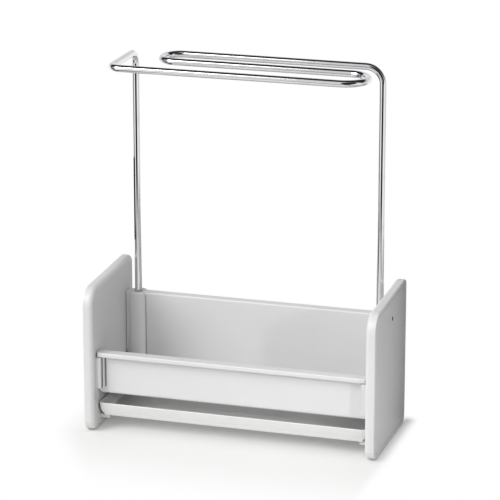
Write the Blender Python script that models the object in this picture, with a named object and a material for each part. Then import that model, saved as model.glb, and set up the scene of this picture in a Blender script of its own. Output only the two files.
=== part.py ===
# Sink drain rack: two hollow side plates carry a slotted trough for sponges and a drip tray on
# runners. One bent steel rod stands in two sockets of the trough as a hanger with level bars.
#
# Lengths are metres. X runs from side to side, Y to the back, Z up. The origin is on the ground
# under the middle of the rack.
import math

import bmesh
import bpy
from mathutils import Matrix, Vector

# Whole rack
RACK_WIDTH = 0.2100
RACK_DEPTH = 0.0870
GAP = 0.0003
OVERRUN = 0.0100

# Side plates: a hollow shell, open outwards, and the flat cover that closes it
PLATE_HEIGHT = 0.10575
TOP_RISE = 0.0025
PLATE_THICKNESS = 0.0072
FRONT_TOP_RADIUS = 0.0130
BACK_TOP_RADIUS = 0.0050
FRONT_FOOT_RADIUS = 0.0090
BACK_FOOT_RADIUS = 0.0065
INNER_EDGE_RADIUS = 0.0032
OUTER_EDGE_RADIUS = 0.0008
SHELL_WALL = 0.0020
SHELL_LIP = 0.0033
COVER_THICKNESS = 0.0020
COVER_LEDGE = 0.0012
COVER_EDGE = 0.0004
CAVITY_DRAFT = 0.0003
STIFFENER_WIDTH = 0.0014
STIFFENER_EDGE = 0.0003
EYE_RADIUS = 0.0015
EYE_DROP = 0.01665
EYE_OFFSET = 0.0040

# Pins of the cover and the sockets of the shell that they push into
COVER_PIN_RADIUS = 0.0015
COVER_PIN_LENGTH = 0.0020
PIN_SOCKET_WALL = 0.0012
PIN_INSET = 0.0125

# Guide rib at the front of each plate, which the trough's rim rests on
GUIDE_SETBACK = 0.0054
GUIDE_REACH = 0.0035
GUIDE_FOOT = 0.0313
GUIDE_EDGE = 0.0007

# Trough
WALL = 0.0024
TROUGH_BASE = 0.0265
PANEL_SETBACK = 0.0112
RIM_SETBACK = 0.0054
RIM_TOP = 0.0579
RIM_HEIGHT = 0.0034
RIM_EDGE = 0.0009
BACK_WALL_LEAD = 0.0035
BACK_TOP = 0.0838
BACK_FLANGE_DEPTH = 0.0075
BACK_FLANGE_HEIGHT = 0.0026
BACK_EDGE = 0.0012
UNDER_EDGE = 0.0020
INSIDE_RADIUS = 0.0030
NOOK_RADIUS = 0.0006
TROUGH_END_RADIUS = 0.0040
END_WALL_TOP = 0.0380
FIN_WIDTH = 0.0009
FIN_CLEARANCE = 0.0005
FIN_SETBACK = 0.0080
FIN_EDGE = 0.0003
RIM_CORNER = 0.0018
SLOT_WIDTH = 0.0032
SLOT_LENGTH = 0.0200
SLOT_PITCH = 0.0120
SLOT_ROW_GAP = 0.0060
SLOT_END_MARGIN = 0.0150
SLOT_END_SHARE = 0.45

# Sockets of the trough and the rod that stands in them
ROD_RADIUS = 0.0025
LEG_SIDE_INSET = 0.0085
LEG_BACK_INSET = 0.0135
SOCKET_WALL = 0.0042
SOCKET_TOP = 0.0840
SOCKET_EDGE = 0.0012
SOCKET_MOUTH = 0.0008
SOCKET_DEPTH = 0.0385
HANGER_HEIGHT = 0.2594
FRONT_BAR_SETBACK = 0.0183
MIDDLE_BAR_LEAD = 0.0245
RIGHT_TURN_INSET = 0.0006
LEFT_TURN_INSET = 0.0245
KNEE_RADIUS = 0.0090
CORNER_RADIUS = 0.0080
SHOULDER_RADIUS = 0.0120

# Drip tray and the runners that carry it
TRAY_SETBACK = 0.0079
TRAY_BACK_INSET = 0.0046
TRAY_BASE = 0.0102
TRAY_HEIGHT = 0.0099
TRAY_SIDE_CLEARANCE = 0.0006
TRAY_WALL = 0.0014
TRAY_FLOOR = 0.0016
TRAY_DRAFT = 0.0012
TRAY_TUCK = 0.0018
TRAY_BOTTOM_EDGE = 0.0008
TRAY_LIP_EDGE = 0.0005
TRAY_CORNER = 0.0030
TRAY_CORNER_SHARE = 0.5
RUNNER_SETBACK = 0.0140
RUNNER_HEIGHT = 0.0031
RUNNER_REACH = 0.0068
RUNNER_EDGE = 0.0007
STOP_HEIGHT = 0.0085
STOP_LENGTH = 0.0022

# Screws that hold the plates to the trough
SCREW_RADIUS = 0.0015
SCREW_LENGTH = 0.0090
SCREW_HEAD_RADIUS = 0.0028
SCREW_HEAD_HEIGHT = 0.0016
SCREW_HEAD_EDGE = 0.0006
SCREW_TIP = 0.0012
BOSS_RADIUS = 0.0040
BOSS_LENGTH = 0.0095
FRONT_SCREW_SETBACK = 0.0195
LOW_SCREW_HEIGHT = 0.0326
REAR_SCREW_HEIGHT = 0.0380

# Faceting
CORNER_STEPS = 8
EDGE_STEPS = 5
SMALL_STEPS = 3
ROUND_SIDES = 24
SMALL_SIDES = 16
TURN_STEPS = 9
BEND_STEPS = 9
ROD_SIDES = 20
SMOOTH_ANGLE = math.radians(35.0)
HALF_SHARE = 0.5

# Places that follow from the sizes above
PLATE_OUTER = RACK_WIDTH / 2
PLATE_INNER = PLATE_OUTER - PLATE_THICKNESS
FRONT = -RACK_DEPTH / 2
LEG_X = PLATE_INNER - LEG_SIDE_INSET
LEG_Y = -FRONT - LEG_BACK_INSET
BACK_WALL_Y = LEG_Y - BACK_WALL_LEAD
FRONT_BAR_Y = FRONT + FRONT_BAR_SETBACK
MIDDLE_BAR_Y = LEG_Y - MIDDLE_BAR_LEAD
TRAY_FRONT = FRONT + TRAY_SETBACK
TRAY_BACK = -FRONT - TRAY_BACK_INSET
COVER_INSET = SHELL_LIP + GAP
COVER_SEAT = PLATE_THICKNESS - COVER_THICKNESS - GAP
CAVITY_INSET = SHELL_LIP + COVER_LEDGE
TROUGH_END = PLATE_INNER - GAP
BORE_RADIUS = ROD_RADIUS + GAP
SOCKET_RADIUS = BORE_RADIUS + SOCKET_WALL
SOCKET_FLOOR = SOCKET_TOP - SOCKET_DEPTH
ROD_FOOT = SOCKET_FLOOR + GAP
SCREW_BORE = SCREW_RADIUS + GAP
RUNNER_TOP = TRAY_BASE - GAP
SIDES = (("left", -1), ("right", 1))
FRONT_SCREW_Y = FRONT + FRONT_SCREW_SETBACK
SCREW_PLACES = (
    ("front", FRONT_SCREW_Y, LOW_SCREW_HEIGHT),
    ("middle", (FRONT_SCREW_Y + LEG_Y) / 2, LOW_SCREW_HEIGHT),
    ("rear", LEG_Y, REAR_SCREW_HEIGHT),
)


# Basic tools

def clear_scene():
    for thing in list(bpy.data.objects):
        bpy.data.objects.remove(thing, do_unlink=True)


def plastic_material(name, colour, roughness):
    return surface_material(name, colour, roughness, 0)


def surface_material(name, colour, roughness, metallic):
    material = bpy.data.materials.new(name)
    material.use_nodes = True
    shader = material.node_tree.nodes["Principled BSDF"]
    shader.inputs["Base Color"].default_value = (*colour, 1)
    shader.inputs["Roughness"].default_value = roughness
    shader.inputs["Metallic"].default_value = metallic
    return material


def solid(name, loops):
    """Closed body through a row of loops with equal numbers of points, with both ends capped."""
    shape = bmesh.new()
    rings = [[shape.verts.new(point) for point in loop] for loop in loops]
    for ring, following in zip(rings, rings[1:]):
        for index in range(len(ring)):
            after = (index + 1) % len(ring)
            shape.faces.new((ring[index], ring[after], following[after], following[index]))
    shape.faces.new(reversed(rings[0]))
    shape.faces.new(rings[-1])
    return from_bmesh(name, shape)


def from_bmesh(name, shape):
    bmesh.ops.recalc_face_normals(shape, faces=shape.faces)
    mesh = bpy.data.meshes.new(name)
    shape.to_mesh(mesh)
    shape.free()
    thing = bpy.data.objects.new(name, mesh)
    bpy.context.scene.collection.objects.link(thing)
    return thing


def combine(target, tool, operation):
    """Boolean of two bodies. The tool is used up."""
    change = target.modifiers.new(operation.lower(), "BOOLEAN")
    change.operation = operation
    change.solver = "EXACT"
    change.object = tool
    bpy.context.view_layer.update()
    seen = target.evaluated_get(bpy.context.evaluated_depsgraph_get())
    mesh = bpy.data.meshes.new_from_object(seen)
    target.modifiers.clear()
    target.data = mesh
    bpy.data.objects.remove(tool, do_unlink=True)
    return target


def add(target, tool):
    return combine(target, tool, "UNION")


def cut(target, tool):
    return combine(target, tool, "DIFFERENCE")


def finish(thing, material):
    thing.data.materials.clear()
    thing.data.materials.append(material)
    thing.data.shade_smooth()
    thing.data.set_sharp_from_angle(angle=SMOOTH_ANGLE)
    return thing


def set_origin(thing, place):
    """Moves the object's origin to a place and leaves its surface where it is."""
    thing.data.transform(Matrix.Translation(-Vector(place)))
    thing.location = place


# Outlines in a plane

def arc_points(centre, radius, first, last, steps):
    """Points on an arc, from the angle first to the angle last, both ends included."""
    turns = [first + (last - first) * step / steps for step in range(steps + 1)]
    return [(centre[0] + radius * math.cos(turn), centre[1] + radius * math.sin(turn)) for turn in turns]


def rounded_rectangle(low, high, radii, steps):
    """Outline of a rectangle, anticlockwise from its high corner, with one radius for each corner:
    high high, low high, low low, high low."""
    signs = ((1, 1), (-1, 1), (-1, -1), (1, -1))
    outline = []
    for corner, (sign, radius) in enumerate(zip(signs, radii)):
        edge = [high[axis] if sign[axis] > 0 else low[axis] for axis in range(2)]
        centre = [edge[axis] - sign[axis] * radius for axis in range(2)]
        first = corner * math.pi / 2
        outline += arc_points(centre, radius, first, first + math.pi / 2, steps)
    return outline


def corner_arc(before, here, after, radius, steps):
    """Points of the arc that rounds a corner, from the side of before to the side of after."""
    first = (before - here).normalized()
    second = (after - here).normalized()
    half = first.angle(second) / 2
    centre = here + (first + second).normalized() * radius / math.sin(half)
    start = here + first * radius / math.tan(half) - centre
    end = here + second * radius / math.tan(half) - centre
    return [centre + start.slerp(end, step / steps).normalized() * radius for step in range(steps + 1)]


def filleted_polygon(corners, steps):
    """Outline through corners given as (place, place, radius), each rounded to its radius."""
    places = [Vector(corner[:2]) for corner in corners]
    outline = []
    for index, (_, _, radius) in enumerate(corners):
        after = places[(index + 1) % len(places)]
        outline += corner_arc(places[index - 1], places[index], after, radius, steps)
    return [tuple(place) for place in outline]


def across(outline, x):
    """An outline of (Y, Z) places set at one X."""
    return [(x, y, z) for y, z in outline]


def level(outline, z):
    """An outline of (X, Y) places set at one height."""
    return [(x, y, z) for x, y in outline]


# Simple bodies

def block_across(name, x_range, y_range, z_range, radii, tip_edge, steps=SMALL_STEPS):
    """Bar that stands along X, its section rounded by radii, with the edge of its far end rounded."""
    root, tip = x_range
    way = 1 if tip > root else -1
    low = (y_range[0], z_range[0])
    high = (y_range[1], z_range[1])
    loops = [across(rounded_rectangle(low, high, radii, steps), root)]
    for step in range(steps + 1):
        turn = math.pi / 2 * step / steps
        inset = tip_edge * (1 - math.cos(turn))
        reach = tip - way * tip_edge * (1 - math.sin(turn))
        inner_low = [value + inset for value in low]
        inner_high = [value - inset for value in high]
        inner_radii = [radius - inset for radius in radii]
        loops.append(across(rounded_rectangle(inner_low, inner_high, inner_radii, steps), reach))
    return solid(name, loops)


def turned(name, profile, axis, centre, sides):
    """Body of revolution. The profile is (distance along the axis, radius); the axis is X or Z."""
    loops = []
    for along, radius in profile:
        ring = arc_points((0, 0), radius, 0, 2 * math.pi, sides)[:-1]
        if axis == "Z":
            loops.append([(centre[0] + u, centre[1] + v, centre[2] + along) for u, v in ring])
        else:
            loops.append([(centre[0] + along, centre[1] + u, centre[2] + v) for u, v in ring])
    return solid(name, loops)


def mirrored_ways(side):
    """Turns a depth measured outwards from a plate's inner face into X."""
    return lambda depth: side * (PLATE_INNER + depth)


# Side plates

def plate_outline(inset):
    """Side view of a plate, drawn in by an inset. Its top edge rises a little to the back."""
    radii = (BACK_TOP_RADIUS, FRONT_TOP_RADIUS, FRONT_FOOT_RADIUS, BACK_FOOT_RADIUS)
    low = (FRONT + inset, inset)
    high = (-FRONT - inset, PLATE_HEIGHT - inset)
    outline = rounded_rectangle(low, high, [radius - inset for radius in radii], CORNER_STEPS)
    rise = TOP_RISE / (RACK_DEPTH * PLATE_HEIGHT)
    return [(y, z * (1 + rise * y)) for y, z in outline]


def shell_section():
    """Places (depth from the inner face, inset from the outline) from the inner face, round both
    edges and down into the hollow."""
    section = []
    for step in range(EDGE_STEPS + 1):
        turn = math.pi / 2 * step / EDGE_STEPS
        section.append((INNER_EDGE_RADIUS * (1 - math.cos(turn)), INNER_EDGE_RADIUS * (1 - math.sin(turn))))
    for step in range(SMALL_STEPS + 1):
        turn = math.pi / 2 * step / SMALL_STEPS
        depth = PLATE_THICKNESS - OUTER_EDGE_RADIUS * (1 - math.sin(turn))
        section.append((depth, OUTER_EDGE_RADIUS * (1 - math.cos(turn))))
    section += [
        (PLATE_THICKNESS, SHELL_LIP),
        (COVER_SEAT, SHELL_LIP),
        (COVER_SEAT, CAVITY_INSET),
        (SHELL_WALL, CAVITY_INSET + CAVITY_DRAFT),
    ]
    return section


def side_shell(name, side, material):
    """Hollow plate with stiffeners, pin sockets, a guide rib, a tray runner and screw holes."""
    at = mirrored_ways(side)
    shell = solid(name, [across(plate_outline(inset), at(depth)) for depth, inset in shell_section()])
    for tool in stiffeners(at) + pin_sockets(at):
        add(shell, tool)
    add(shell, guide_rib(at))
    add(shell, runner(at))
    add(shell, runner_stop(at))
    for tool in pin_bores(at) + screw_clearances(at):
        cut(shell, tool)
    return finish(shell, material)


def stiffeners(at):
    """Low ribs in the hollow: an upright one between each two screws, and a level one across."""
    half = STIFFENER_WIDTH / 2
    low = CAVITY_INSET - CAVITY_DRAFT
    x_range = (at(SHELL_WALL * HALF_SHARE), at(COVER_SEAT - GAP))
    radii = [STIFFENER_EDGE] * 4
    screws = [y for _, y, _ in SCREW_PLACES]
    middle = PLATE_HEIGHT / 2
    sections = [((FRONT + low, -FRONT - low), (middle - half, middle + half))]
    for near, far in zip(screws, screws[1:]):
        place = (near + far) / 2
        sections.append(((place - half, place + half), (low, PLATE_HEIGHT - low + TOP_RISE / 4)))
    return [block_across("stiffener", x_range, y_range, z_range, radii, STIFFENER_EDGE * HALF_SHARE)
            for y_range, z_range in sections]


def pin_places():
    """Four (Y, Z) places of the cover's pins, near the plate's corners."""
    return [(way * (RACK_DEPTH / 2 - PIN_INSET), height)
            for way in (-1, 1) for height in (PIN_INSET, PLATE_HEIGHT - PIN_INSET)]


def pin_sockets(at):
    outer = COVER_PIN_RADIUS + GAP + PIN_SOCKET_WALL
    start = at(SHELL_WALL * HALF_SHARE)
    length = at(COVER_SEAT - GAP) - start
    return [turned("pin_socket", ((0, outer), (length, outer)), "X", (start, y, z), SMALL_SIDES)
            for y, z in pin_places()]


def pin_bores(at):
    bore = COVER_PIN_RADIUS + GAP
    start = at(SHELL_WALL + GAP)
    length = at(SHELL_WALL + OVERRUN) - start
    return [turned("pin_bore", ((0, bore), (length, bore)), "X", (start, y, z), SMALL_SIDES)
            for y, z in pin_places()]


def screw_clearances(at):
    start = at(-OVERRUN)
    profile = ((0, SCREW_BORE), (at(OVERRUN) - start, SCREW_BORE))
    return [turned("clearance", profile, "X", (start, y, z), SMALL_SIDES) for _, y, z in SCREW_PLACES]


def inner_bar(at, reach, y_range, z_range, edge):
    """Bar on the plate's inner face with rounded edges."""
    x_range = (at(SHELL_WALL * HALF_SHARE), at(-reach))
    return block_across("inner_bar", x_range, y_range, z_range, [edge] * 4, edge * HALF_SHARE)


def guide_rib(at):
    """Upright rib at the front of the plate, just under the trough's rim and before its panel."""
    y_range = (FRONT + GUIDE_SETBACK, FRONT + PANEL_SETBACK - GAP)
    z_range = (GUIDE_FOOT, RIM_TOP - RIM_HEIGHT - GAP)
    return inner_bar(at, GUIDE_REACH, y_range, z_range, GUIDE_EDGE)


def runner(at):
    """Level ledge that carries one side of the drip tray."""
    y_range = (FRONT + RUNNER_SETBACK, TRAY_BACK + GAP + STOP_LENGTH)
    z_range = (RUNNER_TOP - RUNNER_HEIGHT, RUNNER_TOP)
    return inner_bar(at, RUNNER_REACH, y_range, z_range, RUNNER_EDGE)


def runner_stop(at):
    """Upturned end of the runner, behind the tray."""
    start = TRAY_BACK + GAP
    z_range = (RUNNER_TOP - RUNNER_HEIGHT * HALF_SHARE, RUNNER_TOP + STOP_HEIGHT)
    return inner_bar(at, RUNNER_REACH, (start, start + STOP_LENGTH), z_range, RUNNER_EDGE)


def outer_cover(name, side, material):
    """Flat panel let into the shell's outer side, with four pins and a small eye near the top."""
    at = mirrored_ways(side)
    depths = ((PLATE_THICKNESS - COVER_THICKNESS, COVER_INSET), (PLATE_THICKNESS - COVER_EDGE, COVER_INSET),
              (PLATE_THICKNESS, COVER_INSET + COVER_EDGE))
    cover = solid(name, [across(plate_outline(inset), at(depth)) for depth, inset in depths])
    start = at(PLATE_THICKNESS - COVER_THICKNESS * HALF_SHARE)
    tip = at(PLATE_THICKNESS - COVER_THICKNESS - COVER_PIN_LENGTH)
    for y, z in pin_places():
        profile = ((0, COVER_PIN_RADIUS), (tip - start, COVER_PIN_RADIUS))
        add(cover, turned("pin", profile, "X", (start, y, z), SMALL_SIDES))
    eye_start = at(0)
    eye_length = at(PLATE_THICKNESS + OVERRUN) - eye_start
    eye_place = (eye_start, EYE_OFFSET, PLATE_HEIGHT - EYE_DROP)
    cut(cover, turned("eye", ((0, EYE_RADIUS), (eye_length, EYE_RADIUS)), "X", eye_place, SMALL_SIDES))
    return finish(cover, material)


# Trough

def trough_section():
    """Section across the trough: (Y, Z, radius) corners, from the front foot round the outside,
    over the back flange, down inside and over the front rim."""
    front = FRONT + PANEL_SETBACK
    inside_front = front + WALL
    back = BACK_WALL_Y
    floor = TROUGH_BASE + WALL
    flange = back + BACK_FLANGE_DEPTH
    under_flange = BACK_TOP - BACK_FLANGE_HEIGHT
    rim = FRONT + RIM_SETBACK
    under_rim = RIM_TOP - RIM_HEIGHT
    return (
        (front, TROUGH_BASE, UNDER_EDGE),
        (back + WALL, TROUGH_BASE, UNDER_EDGE),
        (back + WALL, under_flange, NOOK_RADIUS),
        (flange, under_flange, RIM_EDGE),
        (flange, BACK_TOP, RIM_EDGE),
        (back, BACK_TOP, BACK_EDGE),
        (back, floor, INSIDE_RADIUS),
        (inside_front, floor, INSIDE_RADIUS),
        (inside_front, RIM_TOP, RIM_EDGE),
        (rim, RIM_TOP, RIM_EDGE),
        (rim, under_rim, RIM_EDGE),
        (front, under_rim, NOOK_RADIUS),
    )


def trough_body():
    outline = filleted_polygon(trough_section(), SMALL_STEPS)
    reach = TROUGH_END + OVERRUN
    body = solid("trough", [across(outline, -reach), across(outline, reach)])
    for _, side in SIDES:
        add(body, end_wall(side))
        add(body, fin(side))
    for trimmer in (end_trimmer(), corner_trimmer()):
        combine(body, trimmer, "INTERSECT")
    return body


def end_trimmer():
    """Long body along Y whose lower edges round off the trough's ends."""
    low = (-TROUGH_END, TROUGH_BASE)
    high = (TROUGH_END, BACK_TOP + OVERRUN)
    outline = rounded_rectangle(low, high, [TROUGH_END_RADIUS] * 4, CORNER_STEPS)
    reach = RACK_DEPTH / 2 + OVERRUN
    return solid("trimmer", [[(x, y, z) for x, z in outline] for y in (-reach, reach)])


def corner_trimmer():
    """Upright body whose front edges round off the ends of the rim."""
    low = (-TROUGH_END, FRONT + RIM_SETBACK)
    high = (TROUGH_END, -FRONT)
    outline = rounded_rectangle(low, high, [RIM_CORNER] * 4, SMALL_STEPS)
    return solid("trimmer", [level(outline, 0), level(outline, BACK_TOP + OVERRUN)])


def end_wall(side):
    """Low wall that closes one end of the trough."""
    y_range = (FRONT + PANEL_SETBACK + WALL * HALF_SHARE, BACK_WALL_Y + WALL * HALF_SHARE)
    z_range = (TROUGH_BASE + WALL * HALF_SHARE, END_WALL_TOP)
    x_range = (side * (TROUGH_END + OVERRUN), side * (TROUGH_END - WALL))
    return block_across("end_wall", x_range, y_range, z_range, [RIM_EDGE] * 4, NOOK_RADIUS)


def fin(side):
    """Thin upright rib of the trough beside the plate's guide rib."""
    outer = PLATE_INNER - GUIDE_REACH - FIN_CLEARANCE
    y_range = (FRONT + FIN_SETBACK, FRONT + PANEL_SETBACK + WALL * HALF_SHARE)
    z_range = (GUIDE_FOOT, RIM_TOP - RIM_HEIGHT * HALF_SHARE)
    x_range = (side * outer, side * (outer - FIN_WIDTH))
    return block_across("fin", x_range, y_range, z_range, [FIN_EDGE] * 4, FIN_EDGE * HALF_SHARE)


def socket_post(side):
    """Round column at the back corner of the trough, for one leg of the rod."""
    height = SOCKET_TOP - TROUGH_BASE - GAP
    profile = [(0, SOCKET_RADIUS - SOCKET_EDGE), (SOCKET_EDGE, SOCKET_RADIUS)]
    for step in range(SMALL_STEPS + 1):
        turn = math.pi / 2 * step / SMALL_STEPS
        along = height - SOCKET_EDGE * (1 - math.sin(turn))
        profile.append((along, SOCKET_RADIUS - SOCKET_EDGE * (1 - math.cos(turn))))
    return turned("post", profile, "Z", (side * LEG_X, LEG_Y, TROUGH_BASE + GAP), ROUND_SIDES)


def socket_bore(side):
    """Blind hole for the rod with a widened mouth."""
    profile = (
        (0, BORE_RADIUS),
        (SOCKET_DEPTH - SOCKET_MOUTH, BORE_RADIUS),
        (SOCKET_DEPTH, BORE_RADIUS + SOCKET_MOUTH),
        (SOCKET_DEPTH + OVERRUN, BORE_RADIUS + SOCKET_MOUTH),
    )
    return turned("bore", profile, "Z", (side * LEG_X, LEG_Y, SOCKET_FLOOR), ROUND_SIDES)


def screw_boss(side, y, z):
    """Round boss inside the trough's end that takes one screw."""
    start = side * TROUGH_END
    tip = side * (TROUGH_END - BOSS_LENGTH)
    profile = ((0, BOSS_RADIUS), (tip - start, BOSS_RADIUS))
    return turned("boss", profile, "X", (start, y, z), ROUND_SIDES)


def screw_pilot(side, y, z):
    start = side * (TROUGH_END + OVERRUN)
    tip = side * (PLATE_INNER + SHELL_WALL - SCREW_LENGTH)
    profile = ((0, SCREW_BORE), (tip - start, SCREW_BORE))
    return turned("pilot", profile, "X", (start, y, z), SMALL_SIDES)


def slot_places():
    """Centres of the drain slots: two rows along Y, spread evenly about the middle of the rack."""
    middle = (FRONT + PANEL_SETBACK + WALL + BACK_WALL_Y) / 2
    shift = (SLOT_LENGTH + SLOT_ROW_GAP) / 2
    usable = 2 * (LEG_X - SOCKET_RADIUS) - SLOT_END_MARGIN
    count = int(usable / SLOT_PITCH)
    columns = [(index - (count - 1) / 2) * SLOT_PITCH for index in range(count)]
    return [(x, middle + way * shift) for way in (-1, 1) for x in columns]


def slot_cutter(place):
    low = (place[0] - SLOT_WIDTH / 2, place[1] - SLOT_LENGTH / 2)
    high = (place[0] + SLOT_WIDTH / 2, place[1] + SLOT_LENGTH / 2)
    outline = rounded_rectangle(low, high, [SLOT_WIDTH * SLOT_END_SHARE] * 4, SMALL_STEPS)
    return [level(outline, TROUGH_BASE - OVERRUN), level(outline, TROUGH_BASE + WALL + OVERRUN)]


def drain_cutters():
    """All drain slots as one cutter of separate bodies."""
    shape = bmesh.new()
    for place in slot_places():
        lower, upper = [[shape.verts.new(point) for point in loop] for loop in slot_cutter(place)]
        for index in range(len(lower)):
            after = (index + 1) % len(lower)
            shape.faces.new((lower[index], lower[after], upper[after], upper[index]))
        shape.faces.new(reversed(lower))
        shape.faces.new(upper)
    return from_bmesh("slots", shape)


def trough(material):
    """Moulding of one section with end walls, sockets for the rod, bosses and drain slots."""
    body = trough_body()
    for _, side in SIDES:
        add(body, socket_post(side))
        for _, y, z in SCREW_PLACES:
            add(body, screw_boss(side, y, z))
    for _, side in SIDES:
        cut(body, socket_bore(side))
        for _, y, z in SCREW_PLACES:
            cut(body, screw_pilot(side, y, z))
    cut(body, drain_cutters())
    return finish(body, material)


# Drip tray

def tray_outline(inset, height):
    half = PLATE_INNER - TRAY_SIDE_CLEARANCE - inset
    low = (-half, TRAY_FRONT + inset)
    high = (half, TRAY_BACK - inset)
    radii = [TRAY_CORNER - inset * TRAY_CORNER_SHARE] * 4
    return level(rounded_rectangle(low, high, radii, SMALL_STEPS), TRAY_BASE + height)


def tray_inset(depth_share):
    """How far the outer wall is drawn in at a share of the way down: a draft and a tuck that
    grows with the fourth power."""
    return TRAY_DRAFT * depth_share + TRAY_TUCK * depth_share ** 4


def tray_lip(wall_top):
    """Places (inset, height) over the rounded lip, from the outer side to the inner side."""
    lip = []
    for step in range(1, SMALL_STEPS + 1):
        turn = math.pi / 2 * step / SMALL_STEPS
        lip.append((TRAY_LIP_EDGE * (1 - math.cos(turn)), wall_top + TRAY_LIP_EDGE * math.sin(turn)))
    return lip + [(TRAY_WALL - inset, height) for inset, height in reversed(lip)]


def drip_tray(material):
    """Shallow pan with walls that tuck in towards the bottom and a rounded lip."""
    shares = [step / EDGE_STEPS for step in range(EDGE_STEPS + 1)]
    wall_top = TRAY_HEIGHT - TRAY_LIP_EDGE
    places = [(tray_inset(1) + TRAY_BOTTOM_EDGE, 0)]
    for share in reversed(shares):
        places.append((tray_inset(share), wall_top + (TRAY_BOTTOM_EDGE - wall_top) * share))
    places += tray_lip(wall_top)
    for share in shares:
        places.append((TRAY_WALL + tray_inset(share), wall_top + (TRAY_FLOOR - wall_top) * share))
    tray = solid("drip_tray", [tray_outline(inset, height) for inset, height in places])
    set_origin(tray, (0, TRAY_FRONT, TRAY_BASE))
    return finish(tray, material)


# Wire hanger

def hanger_corners():
    """Corners of the rod's route from the left foot to the right foot, with bend radii. A U turn is
    two corners half a bar spacing in radius."""
    right_end = LEG_X - RIGHT_TURN_INSET
    left_end = LEFT_TURN_INSET - LEG_X
    right_turn = (MIDDLE_BAR_Y - FRONT_BAR_Y) / 2
    left_turn = (LEG_Y - MIDDLE_BAR_Y) / 2
    top = HANGER_HEIGHT
    return (
        ((-LEG_X, LEG_Y, ROD_FOOT), 0, 0),
        ((-LEG_X, LEG_Y, top), KNEE_RADIUS, BEND_STEPS),
        ((-LEG_X, FRONT_BAR_Y, top), CORNER_RADIUS, BEND_STEPS),
        ((right_end, FRONT_BAR_Y, top), right_turn, TURN_STEPS),
        ((right_end, MIDDLE_BAR_Y, top), right_turn, TURN_STEPS),
        ((left_end, MIDDLE_BAR_Y, top), left_turn, TURN_STEPS),
        ((left_end, LEG_Y, top), left_turn, TURN_STEPS),
        ((LEG_X, LEG_Y, top), SHOULDER_RADIUS, BEND_STEPS),
        ((LEG_X, LEG_Y, ROD_FOOT), 0, 0),
    )


def bent_route(corners):
    """Centre line with an arc of the given radius at each corner."""
    places = [Vector(place) for place, _, _ in corners]
    route = [places[0]]
    for index in range(1, len(corners) - 1):
        _, radius, steps = corners[index]
        arc = corner_arc(places[index - 1], places[index], places[index + 1], radius, steps)
        route += [place for place in arc if (place - route[-1]).length > GAP]
    return route + [places[-1]]


def swept_rod(name, route, radius, sides):
    """Round rod along a route. Its cross section is carried from point to point without twist."""
    ring = [Vector((x, y, 0)) * radius for x, y in arc_points((0, 0), 1, 0, 2 * math.pi, sides)[:-1]]
    heading = Vector((0, 0, 1))
    loops = []
    for index, place in enumerate(route):
        before = route[max(index - 1, 0)]
        after = route[min(index + 1, len(route) - 1)]
        step_in = (place - before).normalized() if index else heading
        step_out = (after - place).normalized() if after != place else step_in
        way = (step_in + step_out).normalized()
        turn = heading.rotation_difference(way)
        for spoke in ring:
            spoke.rotate(turn)
        heading = way
        loops.append([place + spoke for spoke in ring])
    return solid(name, loops)


def wire_hanger(material):
    """One bent rod: a leg, three level bars joined by two U turns, and the other leg."""
    rod = swept_rod("wire_hanger", bent_route(hanger_corners()), ROD_RADIUS, ROD_SIDES)
    set_origin(rod, (0, LEG_Y, ROD_FOOT))
    return finish(rod, material)


# Screws

def side_screw(name, side, y, z, material):
    """Pan head screw through the plate's inner wall into a boss of the trough."""
    under_head = side * (PLATE_INNER + SHELL_WALL + GAP)
    head = (
        (-SCREW_LENGTH, SCREW_RADIUS - SCREW_TIP),
        (SCREW_TIP - SCREW_LENGTH, SCREW_RADIUS),
        (0, SCREW_RADIUS),
        (0, SCREW_HEAD_RADIUS),
        (SCREW_HEAD_HEIGHT - SCREW_HEAD_EDGE, SCREW_HEAD_RADIUS),
        (SCREW_HEAD_HEIGHT, SCREW_HEAD_RADIUS - SCREW_HEAD_EDGE),
    )
    profile = [(side * along, radius) for along, radius in head]
    screw = turned(name, profile, "X", (under_head, y, z), SMALL_SIDES)
    return finish(screw, material)


def build():
    clear_scene()
    white = plastic_material("white_plastic", (0.80, 0.80, 0.80), 0.42)
    tray_white = plastic_material("tray_plastic", (0.80, 0.80, 0.79), 0.40)
    steel = surface_material("polished_steel", (0.72, 0.72, 0.73), 0.12, 1)
    screw_steel = surface_material("zinc_steel", (0.60, 0.60, 0.61), 0.32, 1)
    for word, side in SIDES:
        side_shell(f"{word}_side_shell", side, white)
        outer_cover(f"{word}_outer_cover", side, white)
        for place, y, z in SCREW_PLACES:
            side_screw(f"{word}_{place}_screw", side, y, z, screw_steel)
    trough(white)
    drip_tray(tray_white)
    wire_hanger(steel)


build()
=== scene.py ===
import math

import bmesh
import bpy
import numpy as np
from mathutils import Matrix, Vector
from mathutils.geometry import tessellate_polygon


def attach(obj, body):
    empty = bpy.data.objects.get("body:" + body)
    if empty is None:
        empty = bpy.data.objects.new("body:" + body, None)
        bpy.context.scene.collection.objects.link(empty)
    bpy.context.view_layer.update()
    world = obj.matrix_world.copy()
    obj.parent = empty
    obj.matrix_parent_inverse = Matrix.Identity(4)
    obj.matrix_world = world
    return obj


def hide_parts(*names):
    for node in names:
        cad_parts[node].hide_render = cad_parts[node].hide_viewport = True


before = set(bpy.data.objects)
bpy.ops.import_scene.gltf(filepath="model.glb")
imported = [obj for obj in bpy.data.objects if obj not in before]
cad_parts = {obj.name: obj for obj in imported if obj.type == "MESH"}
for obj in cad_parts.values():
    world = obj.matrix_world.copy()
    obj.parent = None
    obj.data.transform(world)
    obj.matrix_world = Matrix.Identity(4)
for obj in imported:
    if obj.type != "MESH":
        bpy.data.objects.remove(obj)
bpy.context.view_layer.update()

# Sizes in metres. The main ones are the same as the solids have
GAP = 0.0003
RACK_DEPTH = 0.0870
PLATE_OUTER = 0.1050
PLATE_THICKNESS = 0.0072
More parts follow.
